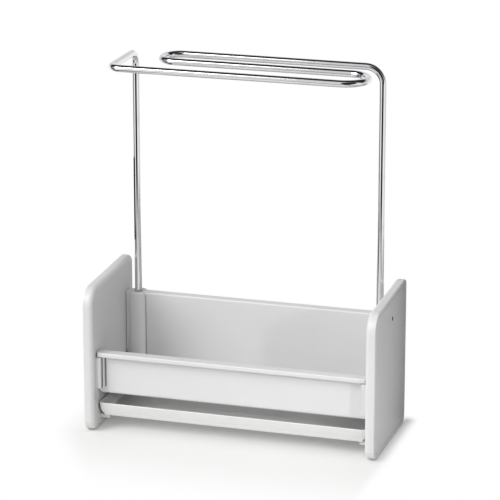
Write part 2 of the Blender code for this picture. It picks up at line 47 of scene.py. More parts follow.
PLATE_INNER = PLATE_OUTER - PLATE_THICKNESS
PLATE_HEIGHT = 0.10575
TOP_RISE = 0.0025
FRONT = -RACK_DEPTH / 2
BACK = RACK_DEPTH / 2
BACK_TOP_RADIUS = 0.0050
FRONT_TOP_RADIUS = 0.0130
FRONT_FOOT_RADIUS = 0.0090
BACK_FOOT_RADIUS = 0.0065
INNER_EDGE_RADIUS = 0.0032
OUTER_EDGE_RADIUS = 0.0008
SHELL_WALL = 0.0020
SHELL_LIP = 0.0033
SHELL_LIP_EDGE = 0.0004
COVER_THICKNESS = 0.0020
COVER_EDGE = 0.0004
COVER_INSET = SHELL_LIP + GAP
COVER_SEAT = PLATE_THICKNESS - COVER_THICKNESS - GAP
CAVITY_INSET = 0.0045
CAVITY_DRAFT = 0.0003
STIFFENER_WIDTH = 0.0014
STIFFENER_EDGE = 0.0003
STIFFENER_RISE = TOP_RISE / 4
EYE_RADIUS = 0.0015
EYE_Y = 0.0040
EYE_Z = 0.0891
EYE_EDGE = 0.0002
# Colour of the painted shade inside the covers' eyes
EYE_SHADE_COLOUR = (0.04, 0.04, 0.04, 1)
PIN_RADIUS = 0.0015
PIN_LENGTH = 0.0020
PIN_EDGE = 0.0003
PIN_SOCKET_RADIUS = 0.0030
PIN_INSET = 0.0125

GUIDE_Y = (FRONT + 0.0054, FRONT + 0.0109)
GUIDE_Z = (0.0313, 0.0542)
GUIDE_REACH = 0.0035
GUIDE_EDGE = 0.0007
RUNNER_Y = (FRONT + 0.0140, 0.0414)
RUNNER_Z = (0.0068, 0.0099)
RUNNER_REACH = 0.0068
STOP_Y = (0.0392, 0.0414)
STOP_Z = (0.00835, 0.0184)

TROUGH_END = PLATE_INNER - GAP
WALL = 0.0024
TROUGH_BASE = 0.0265
PANEL_Y = FRONT + 0.0112
RIM_Y = FRONT + 0.0054
RIM_TOP = 0.0579
RIM_UNDER = 0.0545
RIM_EDGE = 0.0009
RIM_CORNER = 0.0018
BACK_WALL_Y = 0.0265
BACK_TOP = 0.0838
FLANGE_Y = 0.0340
FLANGE_UNDER = 0.0812
BACK_EDGE = 0.0012
UNDER_EDGE = 0.0020
INSIDE_RADIUS = 0.0030
NOOK_RADIUS = 0.0006
TROUGH_END_RADIUS = 0.0040
END_WALL_TOP = 0.0380
END_WALL_FOOT_SHARE = 0.7
FIN_Y = (FRONT + 0.0080, FRONT + 0.0124)
FIN_Z = (0.0313, 0.0562)
FIN_X = (0.0929, 0.0938)
FIN_EDGE = 0.0003
SLOT_WIDTH = 0.0032
SLOT_LENGTH = 0.0200
SLOT_PITCH = 0.0120
SLOT_COLUMNS = 12
SLOT_ROW_SHIFT = 0.0130
SLOT_CORNER = 0.00144
SLOT_EDGE = 0.0004
FIN_GROOVE_WIDTH = 0.0008
FIN_GROOVE_X = (FIN_X[0] - FIN_GROOVE_WIDTH, FIN_X[0])
FIN_GROOVE_DEPTH = 0.0014
FIN_GROOVE_Z = (0.0318, 0.0538)
POST_GROOVE_X = (0.0822, 0.0830)
POST_GROOVE_DEPTH = 0.0007
POST_GROOVE_Z = (0.0340, 0.0815)

ROD_RADIUS = 0.0025
ROD_FOOT = 0.0458
ROD_FOOT_EDGE = 0.0006
LEG_X = 0.0893
LEG_Y = 0.0300
HANGER_TOP = 0.2594
FRONT_BAR_Y = -0.0252
MIDDLE_BAR_Y = 0.0055
RIGHT_TURN_X = 0.0887
LEFT_TURN_X = -0.0648
KNEE_RADIUS = 0.0090
CORNER_RADIUS = 0.0080
SHOULDER_RADIUS = 0.0120
SOCKET_RADIUS = 0.0070
SOCKET_TOP = 0.0840
SOCKET_FLOOR = 0.0455
SOCKET_EDGE = 0.0012
SOCKET_BORE = 0.0028
SOCKET_MOUTH = 0.0008
CUT_BACK_REACH = 0.0040
CUT_BACK_X = (LEG_X - CUT_BACK_REACH, LEG_X + CUT_BACK_REACH)
CUT_BACK_Y = 0.0271
CUT_BACK_Z = 0.0445

TRAY_X = 0.0972
TRAY_FRONT = -0.0356
TRAY_BACK = 0.0389
TRAY_BASE = 0.0102
TRAY_HEIGHT = 0.0099
TRAY_WALL = 0.0014
TRAY_FLOOR = 0.0016
TRAY_DRAFT = 0.0012
TRAY_TUCK = 0.0018
TRAY_TUCK_POWER = 4
TRAY_FOOT_EDGE = 0.0008
TRAY_LIP_EDGE = 0.0005
TRAY_CORNER = 0.0030
TRAY_CORNER_SHARE = 0.5
TRAY_NOOK = 0.0009

SCREW_PLACES = {"front": (-0.0240, 0.0326), "middle": (0.0030, 0.0326), "rear": (0.0300, 0.0380)}
SCREW_BORE = 0.0018
SCREW_LENGTH = 0.0090
SCREW_CORE = 0.0011
SCREW_RIDGE = 0.0004
SCREW_PITCH = 0.0012
SCREW_TIP = 0.0012
SCREW_TIP_SHARE = 0.3
SCREW_HEAD_RADIUS = 0.0028
SCREW_HEAD_HEIGHT = 0.0016
SCREW_HEAD_EDGE = 0.0006
RECESS_REACH = 0.0017
RECESS_HALF_WIDTH = 0.00035
RECESS_DEPTH = 0.0009
RECESS_WALL = RECESS_HALF_WIDTH / 2
BOSS_RADIUS = 0.0040
BOSS_LENGTH = 0.0095
BOSS_EDGE = 0.0005

CORNER_STEPS = 20
EDGE_STEPS = 8
SMALL_STEPS = 4
TRAY_WALL_STEPS = 16
ROUND_SIDES = 64
SMALL_SIDES = 32
ROD_SIDES = 40
BEND_STEPS = 24
STATION_STEPS = 10
STATION_DECIMALS = 7
SHANK_STEPS = 96
HEAD_STEPS = 20
CLOSE_STEP = 0.00001
WELD_DISTANCE = 0.000001
CREASE_ANGLE = math.radians(32.0)
QUARTER = math.pi / 2
FULL_TURN = 2 * math.pi
SIDES = (("left", -1), ("right", 1))


# Outlines and simple surfaces

def arc(centre, radius, first, last, steps):
    """Centre plus radius times (cosine, sine) of evenly spread angles from first to last."""
    turn = np.linspace(first, last, steps + 1)
    return np.stack((centre[0] + radius * np.cos(turn), centre[1] + radius * np.sin(turn)), axis=-1)


def circle(centre, radius, sides):
    """Centre plus radius times (cosine, sine), once round without the last point."""
    return arc(centre, radius, 0, FULL_TURN, sides)[:-1]


def quarter_shares(steps):
    """Over a quarter circle, one less the cosine, which grows from 0 to 1, and one less the sine,
    which falls from 1 to 0."""
    turn = np.linspace(0, QUARTER, steps + 1)
    return 1 - np.cos(turn), 1 - np.sin(turn)


def rounded_rectangle(low, high, radii, steps):
    """Four quarter circles, one in each corner, joined by straight sides, anticlockwise from the
    corner of the high values. radii is one radius for all corners or one for each."""
    corners = (
        (high[0], high[1], -1, -1), (low[0], high[1], 1, -1),
        (low[0], low[1], 1, 1), (high[0], low[1], -1, 1),
    )
    quarters = []
    for number, radius in enumerate(np.broadcast_to(radii, len(corners))):
        a, b, inward_a, inward_b = corners[number]
        centre = (a + inward_a * radius, b + inward_b * radius)
        quarters.append(arc(centre, radius, number * QUARTER, (number + 1) * QUARTER, steps))
    return np.concatenate(quarters)


def filleted_outline(corners, steps):
    """At each corner of a polygon an arc that touches both its sides, with its centre on the line
    that halves the corner. A corner of no radius is a plain point. Returns the outline and the
    number of each corner's last point."""
    places = np.array([corner[:2] for corner in corners])
    parts = []
    for number, (_, _, radius) in enumerate(corners):
        here = places[number]
        if not radius:
            parts.append(here[None])
            continue
        back = places[number - 1] - here
        on = places[(number + 1) % len(places)] - here
        back = back / np.linalg.norm(back)
        on = on / np.linalg.norm(on)
        half = math.acos(back @ on) / 2
        halving = (back + on) / np.linalg.norm(back + on)
        centre = here + halving * radius / math.sin(half)
        start = here + back * radius / math.tan(half) - centre
        end = here + on * radius / math.tan(half) - centre
        first = math.atan2(start[1], start[0])
        sweep = (math.atan2(end[1], end[0]) - first + math.pi) % FULL_TURN - math.pi
        parts.append(arc(centre, radius, first, first + sweep, steps))
    return np.concatenate(parts), np.cumsum([len(part) for part in parts]) - 1


def across(outline, x):
    """An outline of (Y, Z) places set at one X."""
    return np.column_stack((np.full(len(outline), x), outline))


def level(outline, z):
    """An outline of (X, Y) places set at one height."""
    return np.column_stack((outline, np.full(len(outline), z)))


def joined_rings(rings, first_closed=True, last_closed=True, open_cells=()):
    """A surface of two parameters, the ring's number and the place round it: neighbours are joined
    by four-sided faces but for the open cells, and the first and last ring may be filled."""
    rings = np.asarray(rings)
    rows, sides = rings.shape[:2]
    number = np.arange(rows * sides).reshape(rows, sides)
    beside = np.roll(number, -1, axis=1)
    quads = np.stack((number[:-1], beside[:-1], beside[1:], number[1:]), axis=-1)
    kept = np.ones((rows - 1, sides), bool)
    for row, column in open_cells:
        kept[row, column] = False
    faces = quads[kept].tolist()
    if first_closed:
        faces.append(number[0, ::-1].tolist())
    if last_closed:
        faces.append(number[-1].tolist())
    return rings.reshape(-1, 3), faces


def tube(rings):
    """Joined rings, open at both ends."""
    return joined_rings(rings, False, False)


def filled_sheet(loops, place, where):
    """A flat sheet: the first loop is its edge, the others are holes, and the space between them
    is filled with triangles. place sets the flat loops in space at where."""
    flat = [[Vector((a, b, 0)) for a, b in loop] for loop in loops]
    return place(np.concatenate(loops), where), [list(face) for face in tessellate_polygon(flat)]


def turned_body(profile, axis, centre, sides, way=1):
    """Rings of a distance along the axis and a radius, both read from the profile. A radius of
    nothing closes an end in a point, and a way of -1 turns the body's axis round."""
    profile = np.asarray(profile, float)
    rings = profile[:, 1, None, None] * circle((0, 0), 1, sides)
    along = np.broadcast_to(way * profile[:, 0, None, None], rings.shape[:2] + (1,))
    order = (rings, along) if axis == "Z" else (along, rings)
    return tube(np.concatenate(order, axis=-1) + np.asarray(centre))


def rounded_bar(x_range, y_range, z_range, edge):
    """A bar along X: its section is a rounded rectangle, and over the far end the section draws in
    along a quarter circle of half the edge's radius."""
    root, tip = x_range
    tip_edge = edge / 2
    growing, falling = quarter_shares(SMALL_STEPS)
    insets = np.append(0, tip_edge * growing)
    reaches = np.append(root, tip - math.copysign(tip_edge, tip - root) * falling)
    low, high = np.array((y_range, z_range)).T
    rings = [across(rounded_rectangle(low + inset, high - inset, edge - inset, SMALL_STEPS), reach)
             for inset, reach in zip(insets, reaches)]
    return joined_rings(rings)


def outward(side):
    """Turns a depth measured outwards from a plate's inner face into X."""
    return lambda depth: side * (PLATE_INNER + depth)


def add_object(name, data):
    """A new object in the scene."""
    thing = bpy.data.objects.new(name, data)
    bpy.context.scene.collection.objects.link(thing)
    return thing


def new_mesh(name, points, faces, material):
    """A mesh of points and faces with its material."""
    mesh = bpy.data.meshes.new(name)
    mesh.from_pydata(np.asarray(points).tolist(), [], faces)
    mesh.materials.append(material)
    return mesh


def make_piece(name, surfaces, material, body, replaced):
    """Joins the surfaces into one mesh, welds their shared edges and turns all faces outwards.
    Edges sharper than the crease angle stay sharp and the rest are shaded round."""
    points = np.concatenate([points for points, _ in surfaces])
    starts = np.cumsum([0] + [len(points) for points, _ in surfaces]).tolist()
    faces = []
    for (_, part), start in zip(surfaces, starts):
        faces += [[corner + start for corner in face] for face in part]
    mesh = new_mesh(name, points, faces, material)
    shape = bmesh.new()
    shape.from_mesh(mesh)
    bmesh.ops.remove_doubles(shape, verts=shape.verts, dist=WELD_DISTANCE)
    bmesh.ops.recalc_face_normals(shape, faces=shape.faces)
    shape.to_mesh(mesh)
    shape.free()
    mesh.shade_smooth()
    mesh.set_sharp_from_angle(angle=CREASE_ANGLE)
    piece = add_object(name, mesh)
    even = piece.modifiers.new("even_shading", "WEIGHTED_NORMAL")
    even.keep_sharp = True
    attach(piece, body)
    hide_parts(replaced)


# Side plates

def plate_outline(inset):
    """Side view of a plate, drawn in by an inset. Each height is stretched by a share of its place
    from front to back, so that the top edge rises to the back."""
    radii = (BACK_TOP_RADIUS, FRONT_TOP_RADIUS, FRONT_FOOT_RADIUS, BACK_FOOT_RADIUS)
    low, high = np.array((FRONT, 0)) + inset, np.array((BACK, PLATE_HEIGHT)) - inset
    outline = rounded_rectangle(low, high, np.array(radii) - inset, CORNER_STEPS)
    rise = TOP_RISE / (RACK_DEPTH * PLATE_HEIGHT)
    return outline * np.column_stack((np.ones(len(outline)), 1 + rise * outline[:, 0]))


def shell_section():
    """Places (depth from the inner face, inset from the outline): a quarter circle over the inner
    edge, a small one over the outer edge, then down the lip and over the cover's ledge."""
    inner = INNER_EDGE_RADIUS * np.column_stack(quarter_shares(EDGE_STEPS))
    growing, falling = quarter_shares(SMALL_STEPS)
    outer = PLATE_THICKNESS - OUTER_EDGE_RADIUS * falling, OUTER_EDGE_RADIUS * growing
    lip = PLATE_THICKNESS - SHELL_LIP_EDGE * growing, SHELL_LIP - SHELL_LIP_EDGE * falling
    ledge = (
        (COVER_SEAT, SHELL_LIP), (COVER_SEAT, CAVITY_INSET),
        (SHELL_WALL, CAVITY_INSET + CAVITY_DRAFT),
    )
    return np.concatenate((inner, np.column_stack(outer), np.column_stack(lip), ledge))


def pin_places():
    """Four (Y, Z) places of the cover's pins, near the plate's corners."""
    heights = (PIN_INSET, PLATE_HEIGHT - PIN_INSET)
    return [(way * (BACK - PIN_INSET), height) for way in (-1, 1) for height in heights]


def shell_bars(at):
    """Ranges in X, Y and Z and the edge radius of the plate's bars: an upright stiffener between
    two screws, twice, a level one at half height, and the guide rib, the runner and its stop."""
    root = at(SHELL_WALL / 2)
    hollow_x = (root, at(COVER_SEAT - GAP))
    low, half = CAVITY_INSET - CAVITY_DRAFT, STIFFENER_WIDTH / 2
    hollow_z = (low, PLATE_HEIGHT - low + STIFFENER_RISE)
    middle_z = (PLATE_HEIGHT / 2 - half, PLATE_HEIGHT / 2 + half)
    screw_y = [y for y, _ in SCREW_PLACES.values()]
    between = [(before + after) / 2 for before, after in zip(screw_y, screw_y[1:])]
    bars = [(hollow_x, (y - half, y + half), hollow_z, STIFFENER_EDGE) for y in between]
    bars.append((hollow_x, (FRONT + low, BACK - low), middle_z, STIFFENER_EDGE))
    bars.append(((root, at(-GUIDE_REACH)), GUIDE_Y, GUIDE_Z, GUIDE_EDGE))
    bars.append(((root, at(-RUNNER_REACH)), RUNNER_Y, RUNNER_Z, GUIDE_EDGE))
    bars.append(((root, at(-RUNNER_REACH)), STOP_Y, STOP_Z, GUIDE_EDGE))
    return bars


def shell_surfaces(side):
    """The plate's section carried round its outline, with the screw holes through its inner wall,
    the bars inside and outside, and pin sockets in the hollow."""
    at = outward(side)
    section = shell_section()
    surfaces = [tube([across(plate_outline(inset), at(depth)) for depth, inset in section])]
    holes = [circle(place, SCREW_BORE, SMALL_SIDES) for place in SCREW_PLACES.values()]
    for depth, inset in (section[0], section[-1]):
        surfaces.append(filled_sheet([plate_outline(inset)] + holes, across, at(depth)))
    surfaces += [tube([across(hole, at(depth)) for depth in (0, SHELL_WALL)]) for hole in holes]
    surfaces += [rounded_bar(*bar) for bar in shell_bars(at)]
    root, bore, floor = at(SHELL_WALL / 2), PIN_RADIUS + GAP, SHELL_WALL / 2 + GAP
    mouth = COVER_SEAT - GAP - SHELL_WALL / 2
    socket = (
        (0, 0), (0, PIN_SOCKET_RADIUS), (mouth, PIN_SOCKET_RADIUS),
        (mouth, bore), (floor, bore), (floor, 0),
    )
    surfaces += [turned_body(socket, "X", (root, y, z), SMALL_SIDES, side) for y, z in pin_places()]
    return surfaces


def cover_surfaces(side):
    """The cover's edge carried round the plate's outline, both faces filled round the eye, the wall
    of the eye, and four pins on the back."""
    at = outward(side)
    growing, falling = quarter_shares(SMALL_STEPS)
    depths = np.append(PLATE_THICKNESS - COVER_THICKNESS, PLATE_THICKNESS - COVER_EDGE * falling)
    edges = [plate_outline(COVER_INSET + more) for more in np.append(0, COVER_EDGE * growing)]
    eye_depths = np.append(depths[0], PLATE_THICKNESS - EYE_EDGE * falling)
    eye_radii = EYE_RADIUS + np.append(0, EYE_EDGE * growing)
    eyes = [circle((EYE_Y, EYE_Z), radius, SMALL_SIDES) for radius in eye_radii]
    surfaces = []
    for loops, places in ((edges, depths), (eyes, eye_depths)):
        surfaces.append(tube([across(loop, at(depth)) for loop, depth in zip(loops, places)]))
    for end in (0, -1):
        surfaces.append(filled_sheet([edges[end], eyes[end]], across, at(depths[end])))
    start, reach = at(PLATE_THICKNESS - COVER_THICKNESS / 2), COVER_THICKNESS / 2 + PIN_LENGTH
    pin = (
        (0, 0), (0, PIN_RADIUS), (PIN_EDGE - reach, PIN_RADIUS),
        (-reach, PIN_RADIUS - PIN_EDGE), (-reach, 0),
    )
    surfaces += [turned_body(pin, "X", (start, y, z), SMALL_SIDES, side) for y, z in pin_places()]
    return surfaces


# Trough

def trough_stations():
    """X places of the section. At each end they follow the sines of two quarter circles, one of
    the lower edge and one of the rim's corner. A close pair lies at each side of the thinned wall
    in a post, of the groove beside a post and of the groove beside a fin."""
    sines = np.sin(np.linspace(0, QUARTER, STATION_STEPS + 1))
    places = [TROUGH_END - radius * (1 - sines) for radius in (TROUGH_END_RADIUS, RIM_CORNER)]
    for low, high in (CUT_BACK_X, POST_GROOVE_X, FIN_GROOVE_X):
        places.append((low, low + CLOSE_STEP, high - CLOSE_STEP, high))
    half = np.unique(np.round(np.concatenate(places), STATION_DECIMALS))
    return np.concatenate((-half[::-1], half))


def groove_corners(y, z_range):
    """Plain corners of the section, downwards: a close pair at each end of a groove."""
    low, high = z_range
    return [(y, z, 0) for z in (high + CLOSE_STEP, high, low, low - CLOSE_STEP)]


def trough_section():
    """Outline in (Y, Z): under the floor to the back, up behind the back wall, over the flange,
    down to the floor's upper side and forward, up inside the panel, over the rim and down the
    front. Also the numbers of the two points at which the floor's under and upper side begin."""
    back, floor = BACK_WALL_Y + WALL, TROUGH_BASE + WALL
    upper_start = (BACK_WALL_Y, floor, INSIDE_RADIUS)
    corners = [
        (PANEL_Y, TROUGH_BASE, UNDER_EDGE), (back, TROUGH_BASE, UNDER_EDGE),
        (back, CUT_BACK_Z - CLOSE_STEP, 0), (back, CUT_BACK_Z, 0),
        (back, FLANGE_UNDER, NOOK_RADIUS), (FLANGE_Y, FLANGE_UNDER, RIM_EDGE),
        (FLANGE_Y, BACK_TOP, RIM_EDGE), (BACK_WALL_Y, BACK_TOP, BACK_EDGE),
        *groove_corners(BACK_WALL_Y, POST_GROOVE_Z), upper_start,
        (PANEL_Y + WALL, floor, INSIDE_RADIUS), (PANEL_Y + WALL, RIM_TOP, RIM_EDGE),
        (RIM_Y, RIM_TOP, RIM_EDGE), (RIM_Y, RIM_UNDER, RIM_EDGE), (PANEL_Y, RIM_UNDER, NOOK_RADIUS),
        *groove_corners(PANEL_Y, FIN_GROOVE_Z),
    ]
    outline, last = filleted_outline(corners, EDGE_STEPS)
    return outline, last[0], last[corners.index(upper_start)]


def end_curve(aside, radius):
    """Nothing as far as the radius before the trough's end, and from there the drop of a quarter
    circle: the radius less the root of its square less the square of the distance."""
    past = np.maximum(aside - (TROUGH_END - radius), 0)
    return radius - np.sqrt(np.maximum(radius ** 2 - past ** 2, 0))


def within(values, limits, more):
    """True where a value lies between two limits that are moved outwards by a little more."""
    return (values > limits[0] - more) & (values < limits[1] + more)


def trough_shell():
    """The trough's section carried along X. Towards each end the section is cut off below the
    quarter circle of the lower edge and in front of the one of the rim's corner. Inside each post
    the back wall is thinned, so that the bore stays free. Grooves are pushed into the back wall
    beside the posts and into the panel beside the fins. The floor is a sheet with rounded slots."""
    outline, under, over = trough_section()
    x, y = np.meshgrid(trough_stations(), outline[:, 0], indexing="ij")
    aside, half_step = np.abs(x), CLOSE_STEP / 2
    z = np.maximum(outline[:, 1], TROUGH_BASE + end_curve(aside, TROUGH_END_RADIUS))
    y = np.maximum(y, RIM_Y + end_curve(aside, RIM_CORNER))
    in_post = within(aside, CUT_BACK_X, -half_step) & (z > CUT_BACK_Z - half_step)
    y = np.where(in_post, np.minimum(y, CUT_BACK_Y), y)
    by_post = within(aside, POST_GROOVE_X, -half_step) & within(z, POST_GROOVE_Z, half_step)
    on_wall = np.abs(y - BACK_WALL_Y) < CLOSE_STEP
    y = np.where(by_post & on_wall, y + POST_GROOVE_DEPTH, y)
    by_fin = within(aside, FIN_GROOVE_X, -half_step) & within(z, FIN_GROOVE_Z, half_step)
    y = np.where(by_fin & (y < PANEL_Y + CLOSE_STEP), y + FIN_GROOVE_DEPTH, y)
    rings = np.stack((x, y, z), axis=-1)
    middle = len(x) // 2 - 1
    surfaces = [joined_rings(rings, open_cells=((middle, under), (middle, over)))]
    slots = slot_rings()
    for column, height, hole in ((under, TROUGH_BASE, -1), (over, TROUGH_BASE + WALL, 0)):
        first, second = rings[middle:middle + 2, column:column + 2, :2]
        loops = [np.concatenate((first, second[::-1]))] + [slot[hole][:, :2] for slot in slots]
        surfaces.append(filled_sheet(loops, level, height))
    return surfaces + [tube(slot) for slot in slots]


def slot_rings():
    """For each drain slot, rings from the top of the floor down: the slot's outline is wider by a
    quarter circle's inset at the top and at the bottom edge."""
    drop, wide = SLOT_EDGE * np.array(quarter_shares(SMALL_STEPS))
    heights = np.concatenate((TROUGH_BASE + WALL - drop, TROUGH_BASE + drop[::-1]))
    half = np.array((SLOT_WIDTH, SLOT_LENGTH)) / 2
    rings = []
    for height, more in zip(heights, np.concatenate((wide, wide[::-1]))):
        outline = rounded_rectangle(-half - more, half + more, SLOT_CORNER + more, SMALL_STEPS)
        rings.append(level(outline, height))
    columns = (np.arange(SLOT_COLUMNS) - (SLOT_COLUMNS - 1) / 2) * SLOT_PITCH
    middle = (PANEL_Y + WALL + BACK_WALL_Y) / 2
    rows = (middle - SLOT_ROW_SHIFT, middle + SLOT_ROW_SHIFT)
    return [np.array(rings) + (x, y, 0) for x in columns for y in rows]


def end_wall(side):
    """Low wall at one end: its section in XZ follows the quarter circle of the trough's lower edge,
    has a rounded top, and is carried from the panel to the back wall."""
    radius = TROUGH_END_RADIUS
    centre = (TROUGH_END - radius, TROUGH_BASE + radius)
    foot = arc(centre, radius - CLOSE_STEP, -QUARTER * END_WALL_FOOT_SHARE, 0, EDGE_STEPS)
    parts = [foot]
    for number, middle in enumerate((foot[-1, 0] - RIM_EDGE, TROUGH_END - WALL + RIM_EDGE)):
        first, last = number * QUARTER, (number + 1) * QUARTER
        parts.append(arc((middle, END_WALL_TOP - RIM_EDGE), RIM_EDGE, first, last, SMALL_STEPS))
    x, z = np.concatenate(parts + [[(TROUGH_END - WALL, TROUGH_BASE + WALL / 2)]]).T
    ends = (PANEL_Y + WALL / 2, BACK_WALL_Y + WALL / 2)
    return joined_rings([np.column_stack((side * x, np.full(len(x), y), z)) for y in ends])


def socket_post(side):
    """Turned about the leg: up the outside with a rounded top edge, over the top, in through the
    widened mouth and down the bore to its floor."""
    growing, falling = quarter_shares(EDGE_STEPS)
    start = TROUGH_BASE + GAP
    profile = [(start, 0), (start, SOCKET_RADIUS - SOCKET_EDGE)]
    profile.append((start + SOCKET_EDGE, SOCKET_RADIUS))
    profile += zip(SOCKET_TOP - SOCKET_EDGE * falling, SOCKET_RADIUS - SOCKET_EDGE * growing)
    profile += zip(SOCKET_TOP - SOCKET_MOUTH * growing, SOCKET_BORE + SOCKET_MOUTH * falling)
    profile += [(SOCKET_FLOOR, SOCKET_BORE), (SOCKET_FLOOR, 0)]
    return turned_body(profile, "Z", (side * LEG_X, LEG_Y, 0), ROUND_SIDES)


def screw_boss(side, y, z):
    """Turned about the screw: a round boss with a rounded tip."""
    growing, falling = quarter_shares(SMALL_STEPS)
    profile = [(WALL / 2, 0), (WALL / 2, BOSS_RADIUS)]
    profile += zip(BOSS_LENGTH - BOSS_EDGE * falling, BOSS_RADIUS - BOSS_EDGE * growing)
    profile.append((BOSS_LENGTH, 0))
    return turned_body(profile, "X", (side * TROUGH_END, y, z), SMALL_SIDES, -side)


def fin(side):
    """Thin upright rib under the rim: a rounded rectangle in (X, Y) carried up from a foot that
    draws in along a quarter circle."""
    growing, falling = quarter_shares(SMALL_STEPS)
    insets = np.append(FIN_EDGE / 2 * growing[::-1], 0)
    heights = np.append(FIN_Z[0] + FIN_EDGE / 2 * falling[::-1], FIN_Z[1])
    low, high = np.array((FIN_X, FIN_Y)).T
    rings = []
    for inset, height in zip(insets, heights):
        outline = rounded_rectangle(low + inset, high - inset, FIN_EDGE - inset, SMALL_STEPS)
        rings.append(level(outline * (side, 1), height))
    return joined_rings(rings)


def trough_surfaces():
    """The carried section with its end walls, fins, posts and screw bosses."""
    surfaces = trough_shell()
    for _, side in SIDES:
        surfaces += [end_wall(side), fin(side), socket_post(side)]
        surfaces += [screw_boss(side, y, z) for y, z in SCREW_PLACES.values()]
    return surfaces


# Drip tray

def tucked(shares):
    """Inset of the tray's wall at a share of its depth: the draft times the share plus the tuck
    times a power of the share."""
    return TRAY_DRAFT * shares + TRAY_TUCK * shares ** TRAY_TUCK_POWER


def tray_profile():
    """Places (inset, height) from the edge of the underside, round the foot edge, up the tucked
    wall, over the lip and down inside to the floor, with a quarter of an ellipse in the nook."""
    shares = np.linspace(0, 1, TRAY_WALL_STEPS + 1)
    insets, top = tucked(shares), TRAY_HEIGHT - TRAY_LIP_EDGE
    growing, falling = quarter_shares(SMALL_STEPS)
    foot = np.column_stack((insets[-1] + TRAY_FOOT_EDGE * falling, TRAY_FOOT_EDGE * growing))
    outer = np.column_stack((insets, top + (TRAY_FOOT_EDGE - top) * shares))[::-1]
    rise = np.column_stack((TRAY_LIP_EDGE * growing, top + TRAY_LIP_EDGE * (1 - falling)))
    fall = np.column_stack((TRAY_WALL - rise[:, 0], rise[:, 1]))[::-1]
    inner = np.column_stack((TRAY_WALL + insets, top + (TRAY_FLOOR - top) * shares))[1:]
    inner = inner[inner[:, 1] > TRAY_FLOOR + TRAY_NOOK]
    drop = TRAY_FLOOR - inner[-1, 1]
    nook = inner[-1] + np.column_stack((TRAY_NOOK * growing, drop * (1 - falling)))
    return np.concatenate((foot, outer[1:], rise[1:], fall, inner, nook[1:]))


def tray_surfaces():
    """The tray's profile carried round a rectangle with round corners, both ends of it filled."""
    low, high = np.array((-TRAY_X, TRAY_FRONT)), np.array((TRAY_X, TRAY_BACK))
    rings = []
    for inset, height in tray_profile():
        radius = TRAY_CORNER - inset * TRAY_CORNER_SHARE
        outline = rounded_rectangle(low + inset, high - inset, radius, EDGE_STEPS)
        rings.append(level(outline, TRAY_BASE + height))
    return [joined_rings(rings)]


# Wire hanger

def hanger_route():
    """Centre line of the rod: straight runs and arcs from the left foot up, forward, along the
    front bar, back round the right turn, along the middle bar, round the left turn, along the rear
    bar and down to the right foot. An arc is its centre plus the radius times two right-angled
    directions weighted by cosine and sine."""
    knee, corner, shoulder, top = KNEE_RADIUS, CORNER_RADIUS, SHOULDER_RADIUS, HANGER_TOP
    wide, narrow = (MIDDLE_BAR_Y - FRONT_BAR_Y) / 2, (LEG_Y - MIDDLE_BAR_Y) / 2
    bends = (
        ((-LEG_X, LEG_Y - knee, top - knee), (0, 1, 0), (0, 0, 1), knee, QUARTER),
        ((corner - LEG_X, FRONT_BAR_Y + corner, top), (-1, 0, 0), (0, -1, 0), corner, QUARTER),
        ((RIGHT_TURN_X - wide, FRONT_BAR_Y + wide, top), (0, -1, 0), (1, 0, 0), wide, math.pi),
        ((LEFT_TURN_X + narrow, LEG_Y - narrow, top), (0, -1, 0), (-1, 0, 0), narrow, math.pi),
        ((LEG_X - shoulder, LEG_Y, top - shoulder), (0, 0, 1), (1, 0, 0), shoulder, QUARTER),
    )
    foot = np.array(((-LEG_X, LEG_Y, ROD_FOOT), (-LEG_X, LEG_Y, ROD_FOOT + ROD_FOOT_EDGE)))
    parts = [foot]
    for centre, first, second, radius, sweep in bends:
        turn = np.linspace(0, sweep, BEND_STEPS + 1)[:, None]
        spoke = np.cos(turn) * np.array(first) + np.sin(turn) * np.array(second)
        parts.append(np.array(centre) + radius * spoke)
    parts.append(foot[::-1] * (-1, 1, 1))
    return np.concatenate(parts)


def hanger_surfaces():
    """A circle carried along the route. One direction of the circle lies across the run: X beside
    the left leg, Y beside the right leg, and level elsewhere. The other is square to it and to the
    run. The feet have a small chamfer."""
    route = hanger_route()
    steps = np.diff(route, axis=0)
    steps /= np.linalg.norm(steps, axis=1)[:, None]
    run = np.concatenate((steps[:1], steps[:-1] + steps[1:], steps[-1:]))
    run /= np.linalg.norm(run, axis=1)[:, None]
    rising = np.abs(run[:, 2:]) > WELD_DISTANCE
    beside_leg = np.where(route[:, :1] < 0, np.array((1.0, 0, 0)), np.array((0, 1.0, 0)))
    aside = np.where(rising, beside_leg, np.cross(np.array((0, 0, 1.0)), run))
    square = np.cross(run, aside)
    radii = np.full(len(route), ROD_RADIUS)
    radii[[0, -1]] -= ROD_FOOT_EDGE
    ring = circle((0, 0), 1, ROD_SIDES)
    spokes = ring[None, :, :1] * aside[:, None] + ring[None, :, 1:] * square[:, None]
    return [joined_rings(route[:, None] + radii[:, None, None] * spokes)]


# Screws

